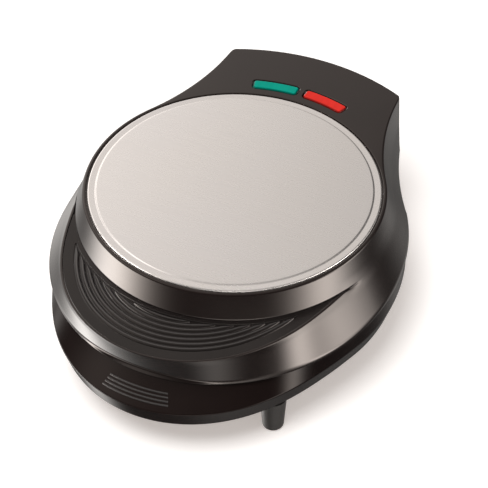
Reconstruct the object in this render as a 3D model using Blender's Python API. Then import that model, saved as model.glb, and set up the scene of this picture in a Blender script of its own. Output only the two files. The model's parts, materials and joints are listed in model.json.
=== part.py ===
"""Electric omelette maker with a hinged lid, closed and standing on its four feet.

Plan places are measured from the axis of the round steel disc in the lid, heights from the table.
An angle in plan runs from the front, -Y, towards +X. All lengths are in metres.
"""
import math

import bmesh
import bpy
from mathutils import Vector

MM = 0.001

# Clearances
SEAT_GAP = 0.3 * MM
PIN_GAP = 0.3 * MM
LUG_GAP = 0.5 * MM
PLATE_GAP = 0.4 * MM
OVERRUN = 1.0 * MM

# Walls
LID_WALL = 2.5 * MM
LID_EDGE = 4.7 * MM
BASE_WALL = 2.5 * MM
FLOOR_WALL = 2.0 * MM
LEDGE_WALL = 2.4 * MM

# Steel disc
DISC_RADIUS = 92.0 * MM
DISC_SHEET = 0.8 * MM
DISC_RING_WIDTH = 4.6 * MM
DISC_STEP_WIDTH = 1.0 * MM
DISC_STEP = 0.8 * MM
DISC_RING_FALL = 0.3 * MM
DISC_ROLL = 0.8 * MM
DISC_DOME = 0.3 * MM
DOME_HALFWAY_SHARE = 0.75
DISC_SEAT_DEPTH = 1.6 * MM
DISC_SEAT_GAP = 1.0 * MM
SEAT_CHAMFER = 0.4 * MM

# Cooking plates
PLATE_MARGIN = 6.0 * MM
PLATE_THICKNESS = 4.0 * MM
PLATE_PROUD = 0.6 * MM
PLATE_FIT = 0.5 * MM
CAVITY_MARGIN = 12.0 * MM
CAVITY_DEPTH = 12.0 * MM
CAVITY_CORNER = 20.0 * MM
CAVITY_ROUND = 8.0 * MM
RIDGE_HALF = 4.0 * MM
CAST_WALL = 2.5 * MM
LEDGE_INNER_MARGIN = 7.0 * MM
LEDGE_SCREW_MARGIN = 3.5 * MM
CAVITY_SHARES = ((0, 0), (0.775, 0.3125), (0.958, 0.625), (1, 1))

# Heating elements, their clips and shields
TUBE_RADIUS = 3.25 * MM
HEATER_MARGIN = 26.0 * MM
HEATER_BEND = 15.0 * MM
HEATER_SWEEP = math.radians(150)
HEATER_TAIL_MARGIN = 4.0 * MM
CLIP_SHEET = 1.0 * MM
CLIP_WIDTH = 10.0 * MM
CLIP_FOOT = 5.0 * MM
SHIELD_SHEET = 0.7 * MM
SHIELD_LIP = 1.2 * MM
SHIELD_MARGIN = 6.0 * MM
FLOOR_SHIELD_GAP = 1.0 * MM
SHIELD_GAP = 0.4 * MM

# Heights of the outer shells
FOOT_HEIGHT = 25.2 * MM
COVER_SHEET = 1.5 * MM
RIM_HEIGHT = 14.3 * MM
BASE_EDGE_RISE = 1.7 * MM
BASE_EDGE_INSET = 2.0 * MM
SEAM = 0.9 * MM
LOWER_BAND_HEIGHT = 25.3 * MM
UPPER_BAND_HEIGHT = 16.1 * MM
LID_FLARE_HEIGHT = 2.2 * MM
LID_FLARE = 2.2 * MM
LID_FLARE_SPAN = math.radians(25)
LID_DRAFT = 0.3 * MM
TOP_BEVEL = 0.8 * MM
CREST_BEVEL = 0.5 * MM

# Plan of the lid's top face, a circle with a hollow-sided neck
TOP_MARGIN = 3.2 * MM
TOP_NECK_HALF = 61.0 * MM
TOP_NECK_HOLLOW = 170.0 * MM
NECK_LENGTH = 49.2 * MM
NECK_CORNER = 4.5 * MM

# Plan of the lid's lower edge, as margins around the cooking plates
LID_FRONT_MARGIN = 33.7 * MM
LID_SHOULDER_MARGIN = 24.4 * MM
LID_SIDE_MARGIN = 12.9 * MM
NECK_HALF = 56.0 * MM
NECK_HOLLOW = 212.0 * MM
BAND_SPREAD = 5.04 * MM
BAND_FULL = 14.0 * MM

# Crescent step at the front of the lid
STEP_WIDTH = 39.7 * MM
STEP_DEPTH = 3.0 * MM
STEP_LEDGE = 1.6 * MM
STEP_FADE = 1.5 * MM
STEP_SPAN = math.radians(75)
STEP_SHADOW = 0.5 * MM

# Ribbed grip panel in the step
PANEL_SHEET = 1.2 * MM
PANEL_RISE = 1.0 * MM
PANEL_OUTER_MARGIN = 6.8 * MM
PANEL_INNER_MARGIN = 2.7 * MM
PANEL_TIP = 1.0 * MM
RIB_WIDTH = 3.2 * MM
RIB_PITCH = 4.0 * MM
RIB_RISE = 1.2 * MM
RIB_TIP = 0.6 * MM

# Plan of the base
LID_OVERHANG = 2.8 * MM
RIM_MARGIN = 16.0 * MM
RIM_BLEND = 4.0 * MM
RIM_GROWTH = 2.2 * MM
RIM_NECK_SPAN = math.radians(55)
BACK_RAKE = 1.0 * MM
RIM_UNDERCUT = 4.0 * MM
LIP_REACH = 33.2 * MM
LIP_SPAN = math.radians(68)
RIM_WALL = 3.0 * MM
FLOOR_INSET = 5.0 * MM
COVER_INSET = 22.5 * MM
COVER_LEDGE = 8.0 * MM

# Grip ribs on the lip of the base
LIP_RIB_SHARES = (0.235, 0.416, 0.59, 0.76)
LIP_RIB_HALF = 16.0 * MM
LIP_RIB_GROWTH = 5.0 * MM
LIP_RIB_WIDTH = 1.4 * MM
LIP_RIB_RISE = 0.8 * MM
LIP_RIB_TOP_SHARE = 0.6

# Hinge
HINGE_INSET = 19.8 * MM
HINGE_RISE = 0.3 * MM
HINGE_STANDOFF = 7.0 * MM
EAR_RADIUS = 6.0 * MM
EAR_HALF_SPACING = 33.0 * MM
EAR_WIDTH = 8.0 * MM
EAR_DROP = 11.0 * MM
LUG_WIDTH = 4.5 * MM
PIN_RADIUS = 2.0 * MM
PIN_END = 0.3 * MM
PIN_HEAD_RADIUS = 3.2 * MM
PIN_HEAD = 2.0 * MM

# Lamp lenses, lamps and their holder
LENS_MARGIN = 7.0 * MM
LENS_WIDTH = 9.0 * MM
LENS_FIRST = math.radians(1.2)
LENS_LAST = math.radians(18.4)
LENS_CORNER = 2.5 * MM
LENS_FLANGE = 1.2 * MM
LENS_CROWN = 0.4 * MM
LENS_BEVEL = 0.8 * MM
LAMP_RADIUS = 2.5 * MM
LAMP_LENGTH = 16.0 * MM
LAMP_PLACE_SHARE = 0.5
LAMP_END_SHARE = 0.6
HOLDER_DROP = 9.6 * MM
HOLDER_SHEET = 2.0 * MM
HOLDER_FRONT = 1.0 * MM
HOLDER_LUG_GAP = 5.0 * MM
HOLDER_POST = 2.5 * MM
HOLDER_MARGIN = 1.5 * MM

# Ring that carries the upper cooking plate
FRAME_RECESS = 0.6 * MM
FRAME_WALL = 2.5 * MM
FRAME_BACK_MARGIN = 16.0 * MM

# Feet and fasteners
FOOT_TOP_RADIUS = 8.35 * MM
FOOT_LOW_RADIUS = 6.8 * MM
FOOT_ROUND = 2.2 * MM
FOOT_ROUND_SHARES = ((0.25, 0.3), (0.75, 0))
FOOT_COUNTERBORE = 4.0 * MM
FOOT_COUNTERBORE_DEPTH = 10.3 * MM
FOOT_ANGLE = math.radians(36.8)
FOOT_INSET = 9.5 * MM
REAR_FOOT_HALF = 47.5 * MM
REAR_FOOT_INSET = 11.0 * MM
SCREW_HEAD_RADIUS = 3.0 * MM
SCREW_HEAD = 2.2 * MM
SCREW_TOP_SHARE = 0.8
SCREW_EDGE_SHARE = 0.4
SCREW_RADIUS = 1.5 * MM
SCREW_BITE = 2.5 * MM
FOOT_SCREW_END = 3.7 * MM
COVER_SCREW_MARGIN = 4.0 * MM
COVER_SCREW_ANGLES = tuple(math.radians(turn) for turn in (-135, -50, 50, 135))
PLATE_SCREW_ANGLES = tuple(math.radians(turn) for turn in (-135, -45, 45, 135))

# Vent slots in the bottom cover
VENT_WIDTH = 3.0 * MM
VENT_LENGTH = 30.0 * MM
VENT_PITCH = 9.0 * MM
VENT_COUNT = 10

# Electrical pieces in the base
THERMOSTAT_RADIUS = 6.5 * MM
THERMOSTAT_HEIGHT = 9.0 * MM
THERMOSTAT_TAB = 4.5 * MM
THERMOSTAT_TAB_WIDTH = 6.0 * MM
THERMOSTAT_TAB_SHEET = 0.8 * MM
THERMOSTAT_MARGIN = 1.5 * MM
BLOCK_LENGTH = 26.0 * MM
BLOCK_DEPTH = 10.0 * MM
BLOCK_HEIGHT = 11.7 * MM
BLOCK_SIDE = 25.0 * MM
BLOCK_MARGIN = 3.0 * MM
BLOCK_POLES = 3
BLOCK_WELL = 2.2 * MM
BLOCK_WELL_DEPTH = 6.0 * MM
FUSE_RADIUS = 2.2 * MM
FUSE_LENGTH = 16.0 * MM
GLAND_RADIUS = 5.5 * MM
GLAND_BORE = 3.5 * MM
GLAND_FLANGE = 8.0 * MM
GLAND_FLANGE_SHEET = 1.5 * MM
GLAND_COLLAR = 7.0 * MM
GLAND_MARGIN = 12.0 * MM

# Counts of sides and steps on round work
SCREW_SIDES = 8
PIN_SIDES = 12
FOOT_SIDES = 16
DISC_SIDES = 60
TUBE_SIDES = 8
TUBE_STEP = math.radians(15)
CLIP_STEPS_SHARE = 3.5
CLIP_ANGLE = CLIP_STEPS_SHARE * TUBE_STEP
CORNER_STEPS = 3
JOIN_PASSES = 4
HALVINGS = 40
MOON_STEPS = 10
PANEL_STEPS = 12
RIB_STEPS = 7
LIP_RIB_STEPS = 3

# Stations at which the shells' sections are taken, as angles from the front
GRIP_STATION = math.radians(5)
GRIP_END = math.radians(60)
SIDE_STATION = math.radians(7.5)
SIDE_STATIONS = 20
CORNER_STATIONS = tuple(math.radians(turn) for turn in (-3, -1, 1, 3, 7, 15, 25))

# Radii and outlines that follow from the sizes above
PLATE_RADIUS = DISC_RADIUS + PLATE_MARGIN
CAVITY_RADIUS = PLATE_RADIUS - CAVITY_MARGIN
HEATER_RADIUS = CAVITY_RADIUS - HEATER_MARGIN
TOP_RADIUS = DISC_RADIUS + TOP_MARGIN
STEP_FOOT = TOP_RADIUS + BAND_SPREAD
STEP_FULL_WIDTH = STEP_LEDGE + 2 * SEAT_GAP + PANEL_TIP / 2
POCKET_OUTER = STEP_LEDGE + SEAT_GAP + PANEL_OUTER_MARGIN
POCKET_INNER = SEAT_GAP + PANEL_INNER_MARGIN
RIB_GROOVE = RIB_PITCH - RIB_WIDTH
RIB_ROOM = STEP_WIDTH - POCKET_OUTER - POCKET_INNER - 2 * RIB_GROOVE - RIB_TIP
PANEL_RIBS = 1 + int(RIB_ROOM / RIB_PITCH)
NECK_BACK = DISC_RADIUS + NECK_LENGTH
HINGE_Y = NECK_BACK - HINGE_INSET
BASE_BACK = HINGE_Y - HINGE_STANDOFF
FLOOR_BACK = BASE_BACK - BACK_RAKE - RIM_UNDERCUT
FLOOR_SHIELD_RADIUS = FLOOR_BACK - GLAND_MARGIN - GLAND_FLANGE - FLOOR_SHIELD_GAP
OPENING_RADIUS = PLATE_RADIUS + PLATE_FIT
LEDGE_OUTER = OPENING_RADIUS + BASE_WALL
LEDGE_INNER = PLATE_RADIUS - LEDGE_INNER_MARGIN
PLATE_SCREW_RADIUS = PLATE_RADIUS - LEDGE_SCREW_MARGIN
HOLE_RADIUS = SCREW_RADIUS + SEAT_GAP
BASE_FRONT = PLATE_RADIUS + RIM_MARGIN + LIP_REACH
DISC_Y = (BASE_FRONT - NECK_BACK) / 2

# Heights that follow from the stack of pieces in the base and in the lid
FLOOR_UNDERSIDE = FOOT_HEIGHT + SEAT_GAP
COVER_LEDGE_Z = FLOOR_UNDERSIDE + COVER_SHEET + SEAT_GAP
FLOOR_TOP = COVER_LEDGE_Z + FLOOR_WALL
FLOOR_SHIELD_Z = FLOOR_TOP + SEAT_GAP
LOWER_CLIP_Z = FLOOR_SHIELD_Z + SHIELD_SHEET + SHIELD_GAP
LOWER_TUBE_Z = LOWER_CLIP_Z + CLIP_SHEET + SEAT_GAP + TUBE_RADIUS
LOWER_CAST_Z = LOWER_TUBE_Z + TUBE_RADIUS + SEAT_GAP
LOWER_PLATE_TOP = LOWER_CAST_Z + CAST_WALL + CAVITY_DEPTH
BASE_TOP_Z = LOWER_PLATE_TOP - PLATE_PROUD
RIM_Z = FLOOR_UNDERSIDE + RIM_HEIGHT
LID_BOTTOM_Z = BASE_TOP_Z + SEAM
FRAME_Z = LID_BOTTOM_Z + FRAME_RECESS
CREST_Z = LID_BOTTOM_Z + LOWER_BAND_HEIGHT
TOP_Z = CREST_Z + UPPER_BAND_HEIGHT
SEAT_Z = TOP_Z - DISC_SEAT_DEPTH
CEILING_Z = SEAT_Z - LID_WALL
HINGE_Z = BASE_TOP_Z + HINGE_RISE
UPPER_PLATE_FACE = LOWER_PLATE_TOP + PLATE_GAP
UPPER_CAST_Z = UPPER_PLATE_FACE + CAVITY_DEPTH + CAST_WALL
UPPER_TUBE_Z = UPPER_CAST_Z + SEAT_GAP + TUBE_RADIUS
UPPER_CLIP_Z = UPPER_TUBE_Z + TUBE_RADIUS + SEAT_GAP + CLIP_SHEET
UPPER_SHIELD_Z = UPPER_CLIP_Z + SHIELD_GAP

SHARP_ANGLE = math.radians(30)

# Directions in which a cooking plate's casting reaches from its food side
DOWN = -1
UP = 1

FINISHES = {
    "gloss_black": ((0.018, 0.016, 0.015), 0.16, 0.0),
    "matt_black": ((0.045, 0.040, 0.037), 0.55, 0.0),
    "brushed_steel": ((0.66, 0.63, 0.61), 0.30, 1.0),
    "plain_steel": ((0.55, 0.55, 0.56), 0.35, 1.0),
    "coated_metal": ((0.030, 0.028, 0.028), 0.42, 0.3),
    "heating_steel": ((0.22, 0.20, 0.19), 0.45, 1.0),
    "green_lens": ((0.0, 0.33, 0.24), 0.12, 0.0),
    "red_lens": ((0.78, 0.03, 0.02), 0.12, 0.0),
    "white_plastic": ((0.80, 0.79, 0.75), 0.50, 0.0),
    "rubber": ((0.020, 0.018, 0.017), 0.75, 0.0),
}


def smooth_min(first, second, blend):
    """Smaller of two lengths, with the change from one to the other rounded off."""
    near = max(blend - abs(first - second), 0) / blend
    return min(first, second) - near * near * blend / 4


def hump(angle, span):
    """1 at the front, falling smoothly to 0 at the span on either side."""
    return math.cos(min(abs(angle) / span, 1) * math.pi / 2) ** 2


def heading(angle):
    """Unit vector in plan at an angle from the front."""
    return Vector((math.sin(angle), -math.cos(angle)))


class Outline:
    """Plan of a moulding: a round body, two hollow neck sides and the back."""

    corner_mark = math.radians(155)
    warp_from = math.radians(120)

    def __init__(self, front, shoulder, side, neck_half, hollow, back, flat_back=False):
        self.front = front
        self.shoulder = shoulder
        self.side = side
        self.neck_half = neck_half
        self.hollow = hollow
        self.back = back
        self.flat_back = flat_back
        diagonal = math.sin(math.radians(45))
        self.mean = (diagonal * (front + side) - shoulder) / (2 * diagonal - 1)
        self.centre_x = neck_half + hollow
        join = side
        for _ in range(JOIN_PASSES):
            self.centre_y = math.sqrt((join + hollow) ** 2 - self.centre_x ** 2)
            self.start = math.pi - math.atan2(self.centre_x, self.centre_y)
            join = self.body_reach(self.start)
        self.corner = self.find_corner()

    def inset(self, depth):
        """The same outline moved in by a depth."""
        return Outline(self.front - depth, self.shoulder - depth, self.side - depth,
                       self.neck_half - depth, self.hollow + depth, self.back - depth, self.flat_back)

    def with_flat_back(self, back):
        """The same outline cut off straight across the neck."""
        return Outline(self.front, self.shoulder, self.side, self.neck_half, self.hollow, back, True)

    def body_reach(self, angle):
        swell = self.front - 2 * self.mean + self.side
        return self.mean + swell * math.cos(angle) + (self.mean - self.side) * math.cos(2 * angle)

    def side_reach(self, angle):
        along = self.centre_x * math.sin(angle) - self.centre_y * math.cos(angle)
        rest = along ** 2 - (self.centre_x ** 2 + self.centre_y ** 2 - self.hollow ** 2)
        if rest > 0:
            reach = along - math.sqrt(rest)
            if -reach * math.cos(angle) < self.centre_y:
                return reach
        return self.neck_half / max(math.sin(angle), MM)

    def back_reach(self, angle):
        if self.flat_back:
            return self.back / max(-math.cos(angle), MM)
        return self.back

    def find_corner(self):
        low = self.start
        high = math.pi
        for _ in range(HALVINGS):
            middle = (low + high) / 2
            if self.side_reach(middle) < self.back_reach(middle):
                low = middle
            else:
                high = middle
        return low

    def reach(self, angle):
        angle = abs(angle)
        if angle <= self.start:
            return self.body_reach(angle)
        return smooth_min(self.side_reach(angle), self.back_reach(angle), NECK_CORNER)

    def warped(self, angle):
        """Station angle moved so that the corner station lands on this outline's own corner."""
        size = abs(angle)
        if size > self.corner_mark:
            share = (size - self.corner_mark) / (math.pi - self.corner_mark)
            size = self.corner + share * (math.pi - self.corner)
        elif size > self.warp_from:
            share = (size - self.warp_from) / (self.corner_mark - self.warp_from)
            size = self.warp_from + share * (self.corner - self.warp_from)
        return math.copysign(size, angle)

    def ring(self):
        """Plan points at all stations."""
        turns = [self.warped(angle) for angle in STATIONS]
        return [heading(turn) * self.reach(turn) for turn in turns]


def station_angles():
    """Angles all round, closer together along the grip and at the neck corners."""
    half = [GRIP_STATION * step for step in range(round(GRIP_END / GRIP_STATION))]
    half += [SIDE_STATION * step for step in range(round(GRIP_END / SIDE_STATION), SIDE_STATIONS)]
    half += [Outline.corner_mark + turn for turn in CORNER_STATIONS]
    return half + [-turn for turn in reversed(half[1:-1])]


STATIONS = station_angles()

LID_TOP = Outline(TOP_RADIUS, TOP_RADIUS, TOP_RADIUS, TOP_NECK_HALF, TOP_NECK_HOLLOW, NECK_BACK)
LID_LOW = Outline(PLATE_RADIUS + LID_FRONT_MARGIN, PLATE_RADIUS + LID_SHOULDER_MARGIN,
                  PLATE_RADIUS + LID_SIDE_MARGIN, NECK_HALF, NECK_HOLLOW, NECK_BACK)
BASE_TOP = LID_LOW.inset(LID_OVERHANG).with_flat_back(BASE_BACK)
BASE_MIDDLE = BASE_TOP.with_flat_back(BASE_BACK - BACK_RAKE)


def circle(radius):
    """Plan points of a circle at all stations."""
    return [heading(angle) * radius for angle in STATIONS]


def pushed(points, amounts):
    """Plan points moved away from the disc axis, each by its own amount."""
    return [point + point.normalized() * amount for point, amount in zip(points, amounts)]


def mixed(first, second, shares):
    """Plan points or heights between two lists."""
    return [one + (two - one) * share for one, two, share in zip(first, second, shares)]


def raised(points, heights):
    """Points in space from plan points and one height, or one height for each."""
    if isinstance(heights, float):
        heights = [heights] * len(points)
    return [Vector((point.x, point.y, height)) for point, height in zip(points, heights)]


def loft_mesh(rings, looped=False):
    """Skin over rings of equal length, closed by end faces or, looped, by itself."""
    shape = bmesh.new()
    rows = [[shape.verts.new(point) for point in ring] for ring in rings]
    following = rows[1:] + rows[:1] if looped else rows[1:]
    for row, after in zip(rows, following):
        for here in range(len(row)):
            beside = (here + 1) % len(row)
            shape.faces.new((row[here], row[beside], after[beside], after[here]))
    if not looped:
        shape.faces.new(rows[0])
        shape.faces.new(rows[-1])
    return shape


def turned_mesh(profile, sides, centre=(0, 0), looped=False):
    """Solid turned about a vertical axis; a radius of 0 closes the profile on the axis."""
    shape = bmesh.new()
    rows = []
    for radius, height in profile:
        if radius == 0:
            rows.append([shape.verts.new((centre[0], centre[1], height))])
            continue
        turns = [2 * math.pi * side / sides for side in range(sides)]
        rows.append([shape.verts.new((centre[0] + radius * math.cos(turn),
                                      centre[1] + radius * math.sin(turn), height)) for turn in turns])
    following = rows[1:] + rows[:1] if looped else rows[1:]
    for row, after in zip(rows, following):
        for here in range(sides):
            beside = (here + 1) % sides
            if len(row) == 1:
                shape.faces.new((row[0], after[beside], after[here]))
            elif len(after) == 1:
                shape.faces.new((row[here], row[beside], after[0]))
            else:
                shape.faces.new((row[here], row[beside], after[beside], after[here]))
    if not looped:
        for row in (rows[0], rows[-1]):
            if len(row) > 1:
                shape.faces.new(row)
    return shape


def prism_mesh(outline, low, high):
    """Upright prism on a plan outline."""
    return loft_mesh([raised(outline, low), raised(outline, high)])


def cross_mesh(profile, left, right):
    """Solid with a profile in the YZ plane, reaching from left to right along X."""
    rings = [[Vector((x, point.x, point.y)) for point in profile] for x in (left, right)]
    return loft_mesh(rings)


def box_mesh(low, high):
    """Box between two corners."""
    corners = [Vector((low[0], low[1])), Vector((high[0], low[1])),
               Vector((high[0], high[1])), Vector((low[0], high[1]))]
    return prism_mesh(corners, low[2], high[2])


def merged(shapes):
    """Several separate bodies in one mesh."""
    whole = bmesh.new()
    for shape in shapes:
        part = bpy.data.meshes.new("part")
        shape.to_mesh(part)
        shape.free()
        whole.from_mesh(part)
        bpy.data.meshes.remove(part)
    return whole


def finish_material(finish):
    """Principled material of a named finish, made once for each piece."""
    colour, roughness, metallic = FINISHES[finish]
    material = bpy.data.materials.new(finish)
    material.use_nodes = True
    shader = material.node_tree.nodes["Principled BSDF"]
    shader.inputs["Base Color"].default_value = (*colour, 1)
    shader.inputs["Roughness"].default_value = roughness
    shader.inputs["Metallic"].default_value = metallic
    material.diffuse_color = (*colour, 1)
    return material


def place(name, shape, carrier):
    """Object from a mesh drawn in plan and height, carried by an empty."""
    bmesh.ops.recalc_face_normals(shape, faces=shape.faces[:])
    mesh = bpy.data.meshes.new(name)
    shape.to_mesh(mesh)
    shape.free()
    thing = bpy.data.objects.new(name, mesh)
    bpy.context.scene.collection.objects.link(thing)
    thing.parent = carrier
    thing.location = Vector((0, DISC_Y, 0)) - carrier.location
    return thing


def piece(name, shape, finish, carrier):
    """Visible piece with its own material, shaded smooth between its sharp edges."""
    thing = place(name, shape, carrier)
    thing.data.materials.append(finish_material(finish))
    thing.data.shade_smooth()
    thing.data.set_sharp_from_angle(angle=SHARP_ANGLE)
    return thing


def combine(thing, name, shape, operation):
    """Boolean with a hidden guide; the solver keeps exact edges."""
    guide = place(name, shape, thing.parent)
    guide.hide_render = True
    guide.display_type = "WIRE"
    boolean = thing.modifiers.new(name, "BOOLEAN")
    boolean.operation = operation
    boolean.solver = "EXACT"
    boolean.object = guide


def cut(thing, name, shape):
    combine(thing, name, shape, "DIFFERENCE")


def unite(thing, name, shape):
    combine(thing, name, shape, "UNION")


def empty(name, location):
    axis = bpy.data.objects.new(name, None)
    axis.location = location
    bpy.context.scene.collection.objects.link(axis)
    return axis


def lying(shape, centre):
    """Turned shape laid along X, with its axis at the centre's Y and Z."""
    for point in shape.verts:
        x, y, z = point.co
        point.co = Vector((centre[0] + z, centre[1] + y, centre[2] - x))
    return shape


def band_foot():
    """Plan of the upper band's foot: the top outline spread towards the lower one."""
    foot = []
    for top, low in zip(LID_TOP.ring(), LID_LOW.ring()):
        spread = low - top
        share = min(1, spread.length / BAND_FULL)
        foot.append(top + spread.normalized() * BAND_SPREAD * share)
    return foot


def lid_shell():
    """Rings of the lid from the floor of the disc's seat, over the outside, to the ceiling."""
    foot = band_foot()
    low = LID_LOW.ring()
    widths = [STEP_WIDTH * hump(angle, STEP_SPAN) for angle in STATIONS]
    full = [min(1, width / STEP_FADE) for width in widths]
    edge_shares = [min(1, width / STEP_FULL_WIDTH) for width in widths]
    crest = pushed(foot, widths)
    flare_z = LID_BOTTOM_Z + LID_FLARE_HEIGHT
    flare = pushed(low, [-LID_DRAFT - LID_FLARE * hump(angle, LID_FLARE_SPAN) for angle in STATIONS])

    def wall(drop):
        share = drop / (CREST_Z - flare_z)
        return mixed(foot, flare, [share] * len(foot))

    def step_ring(place_in_step, height, order):
        drop = STEP_SHADOW * order
        heights = [CREST_Z - drop + (height - CREST_Z + drop) * share for share in full]
        return raised(mixed(wall(drop), place_in_step, full), heights)

    ledge = pushed(crest, [-STEP_LEDGE * share for share in edge_shares])
    bevelled = pushed(crest, [-CREST_BEVEL * share for share in edge_shares])
    shelf_z = CREST_Z - STEP_DEPTH
    under_z = shelf_z - LID_WALL
    under_drop = CREST_Z - under_z + STEP_SHADOW
    under_wall = pushed(wall(under_drop), [-LID_WALL] * len(foot))
    under_crest = pushed(crest, [-LID_WALL] * len(foot))
    under_heights = [under_z - STEP_SHADOW * (1 - share) for share in full]
    return [
        raised(circle(DISC_RADIUS + DISC_SEAT_GAP), SEAT_Z),
        raised(circle(DISC_RADIUS + DISC_SEAT_GAP), TOP_Z - SEAT_CHAMFER),
        raised(LID_TOP.inset(TOP_BEVEL).ring(), TOP_Z),
        raised(LID_TOP.ring(), TOP_Z - TOP_BEVEL),
        raised(foot, CREST_Z),
        step_ring(foot, shelf_z, 1),
        step_ring(ledge, shelf_z, 2),
        step_ring(ledge, CREST_Z, 3),
        step_ring(bevelled, CREST_Z, 4),
        step_ring(crest, CREST_Z - CREST_BEVEL, 5),
        raised(flare, flare_z),
        raised(low, LID_BOTTOM_Z),
        raised(LID_LOW.inset(LID_EDGE).ring(), LID_BOTTOM_Z),
        raised(LID_LOW.inset(LID_EDGE).ring(), FRAME_Z + FRAME_WALL + SEAT_GAP),
        raised(mixed(under_wall, under_crest, full), under_heights),
        raised(pushed(foot, [-LID_WALL] * len(foot)), under_z),
        raised(LID_TOP.inset(LID_WALL).ring(), CEILING_Z),
    ]


def lens_outline(grow):
    """Plan of one lamp lens on the +X side, with rounded corners."""
    inner = DISC_RADIUS + LENS_MARGIN - grow
    outer = DISC_RADIUS + LENS_MARGIN + LENS_WIDTH + grow
    corner = LENS_CORNER + grow
    first = math.pi - LENS_LAST - grow / outer
    last = math.pi - LENS_FIRST + grow / outer
    points = []
    for reach, inward, start, end in ((outer, -1, first, last), (inner, 1, last, first)):
        turn = math.copysign(corner / reach, end - start)
        for step in range(CORNER_STEPS):
            share = step / CORNER_STEPS
            rise = corner * (1 - math.sin(share * math.pi / 2))
            along = start + turn * (1 - math.cos(share * math.pi / 2))
            points.append(heading(along) * (reach + inward * rise))
        for step in range(CORNER_STEPS + 1):
            share = step / CORNER_STEPS
            points.append(heading(start + turn + (end - start - 2 * turn) * share) * reach)
        for step in range(1, CORNER_STEPS):
            share = step / CORNER_STEPS
            rise = corner * (1 - math.cos(share * math.pi / 2))
            along = end - turn * (1 - math.sin(share * math.pi / 2))
            points.append(heading(along) * (reach + inward * rise))
    return points


def mirrored(points, side):
    return [Vector((point.x * side, point.y)) for point in points]


def lug_profile(top):
    """Side view of a lid lug: round about the hinge axis, straight up to the ceiling."""
    axis = Vector((HINGE_Y, HINGE_Z))
    turns = [math.pi + math.pi * step / (2 * CORNER_STEPS) for step in range(2 * CORNER_STEPS + 1)]
    points = [axis + Vector((math.cos(turn), math.sin(turn))) * EAR_RADIUS for turn in turns]
    points.append(Vector((HINGE_Y + EAR_RADIUS, top)))
    points.append(Vector((HINGE_Y - EAR_RADIUS, top)))
    return points


def ear_profile():
    """Side view of a base ear: from the rear wall out to a round end about the hinge axis."""
    axis = Vector((HINGE_Y, HINGE_Z))
    root = BASE_BACK - BASE_WALL / 2
    turns = [-math.pi / 2 + math.pi * step / (2 * CORNER_STEPS) for step in range(2 * CORNER_STEPS + 1)]
    points = [Vector((root, HINGE_Z - EAR_DROP))]
    points.append(Vector((HINGE_Y - HINGE_STANDOFF, HINGE_Z - EAR_DROP)))
    points += [axis + Vector((math.cos(turn), math.sin(turn))) * EAR_RADIUS for turn in turns]
    points.append(axis + Vector((-EAR_RADIUS, EAR_RADIUS)) * math.sin(math.radians(45)))
    points.append(Vector((root, BASE_TOP_Z - SEAT_GAP)))
    return points


def pin_bore(radius):
    """Bore along the hinge axis, through everything on it."""
    reach = EAR_HALF_SPACING + EAR_WIDTH / 2 + LUG_GAP + LUG_WIDTH + OVERRUN
    return lying(turned_mesh(((radius, -reach), (radius, reach)), PIN_SIDES), (0, HINGE_Y, HINGE_Z))


def make_lid_cover(carrier):
    cover = piece("lid_cover", loft_mesh(lid_shell()), "gloss_black", carrier)
    profile = lug_profile((CEILING_Z + TOP_Z) / 2)
    lugs = []
    for side in (-1, 1):
        for reach in (-1, 1):
            near = EAR_HALF_SPACING + reach * (EAR_WIDTH / 2 + LUG_GAP)
            far = near + reach * LUG_WIDTH
            left, right = sorted((side * near, side * far))
            lugs.append(cross_mesh(profile, left, right))
    unite(cover, "hinge_lugs", merged(lugs))
    cut(cover, "lug_bore", pin_bore(PIN_RADIUS + PIN_GAP))
    windows = [prism_mesh(mirrored(lens_outline(SEAT_GAP), side), CEILING_Z - OVERRUN, TOP_Z + OVERRUN)
               for side in (-1, 1)]
    cut(cover, "lens_windows", merged(windows))


def panel_outline(outer_margin, inner_margin, tip, steps):
    """Crescent inside given margins from the step's outer and inner edges, ended at a tip width."""
    share = math.sqrt((outer_margin + inner_margin + tip) / STEP_WIDTH)
    end = STEP_SPAN * math.acos(share) / (math.pi / 2)
    turns = [end * step / steps for step in range(-steps, steps + 1)]
    outer = [heading(turn) * (STEP_FOOT + STEP_WIDTH * hump(turn, STEP_SPAN) - outer_margin)
             for turn in turns]
    inner = [heading(turn) * (STEP_FOOT + inner_margin) for turn in reversed(turns)]
    return outer + inner


def rib_outline(offset, inner_margin):
    """Strip at a constant offset from the step's outer edge, cut off slanting by the inner margin."""
    share = math.sqrt((offset + inner_margin + RIB_TIP) / STEP_WIDTH)
    end = STEP_SPAN * math.acos(share) / (math.pi / 2)
    turns = [end * math.sin(step / RIB_STEPS * math.pi / 2) for step in range(-RIB_STEPS, RIB_STEPS + 1)]
    outer = []
    inner = []
    for turn in turns:
        width = STEP_WIDTH * hump(turn, STEP_SPAN)
        outer.append(heading(turn) * (STEP_FOOT + width - offset))
        inner.append(heading(turn) * (STEP_FOOT + max(width - offset - RIB_WIDTH, inner_margin)))
    return outer + inner[::-1]


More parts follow.
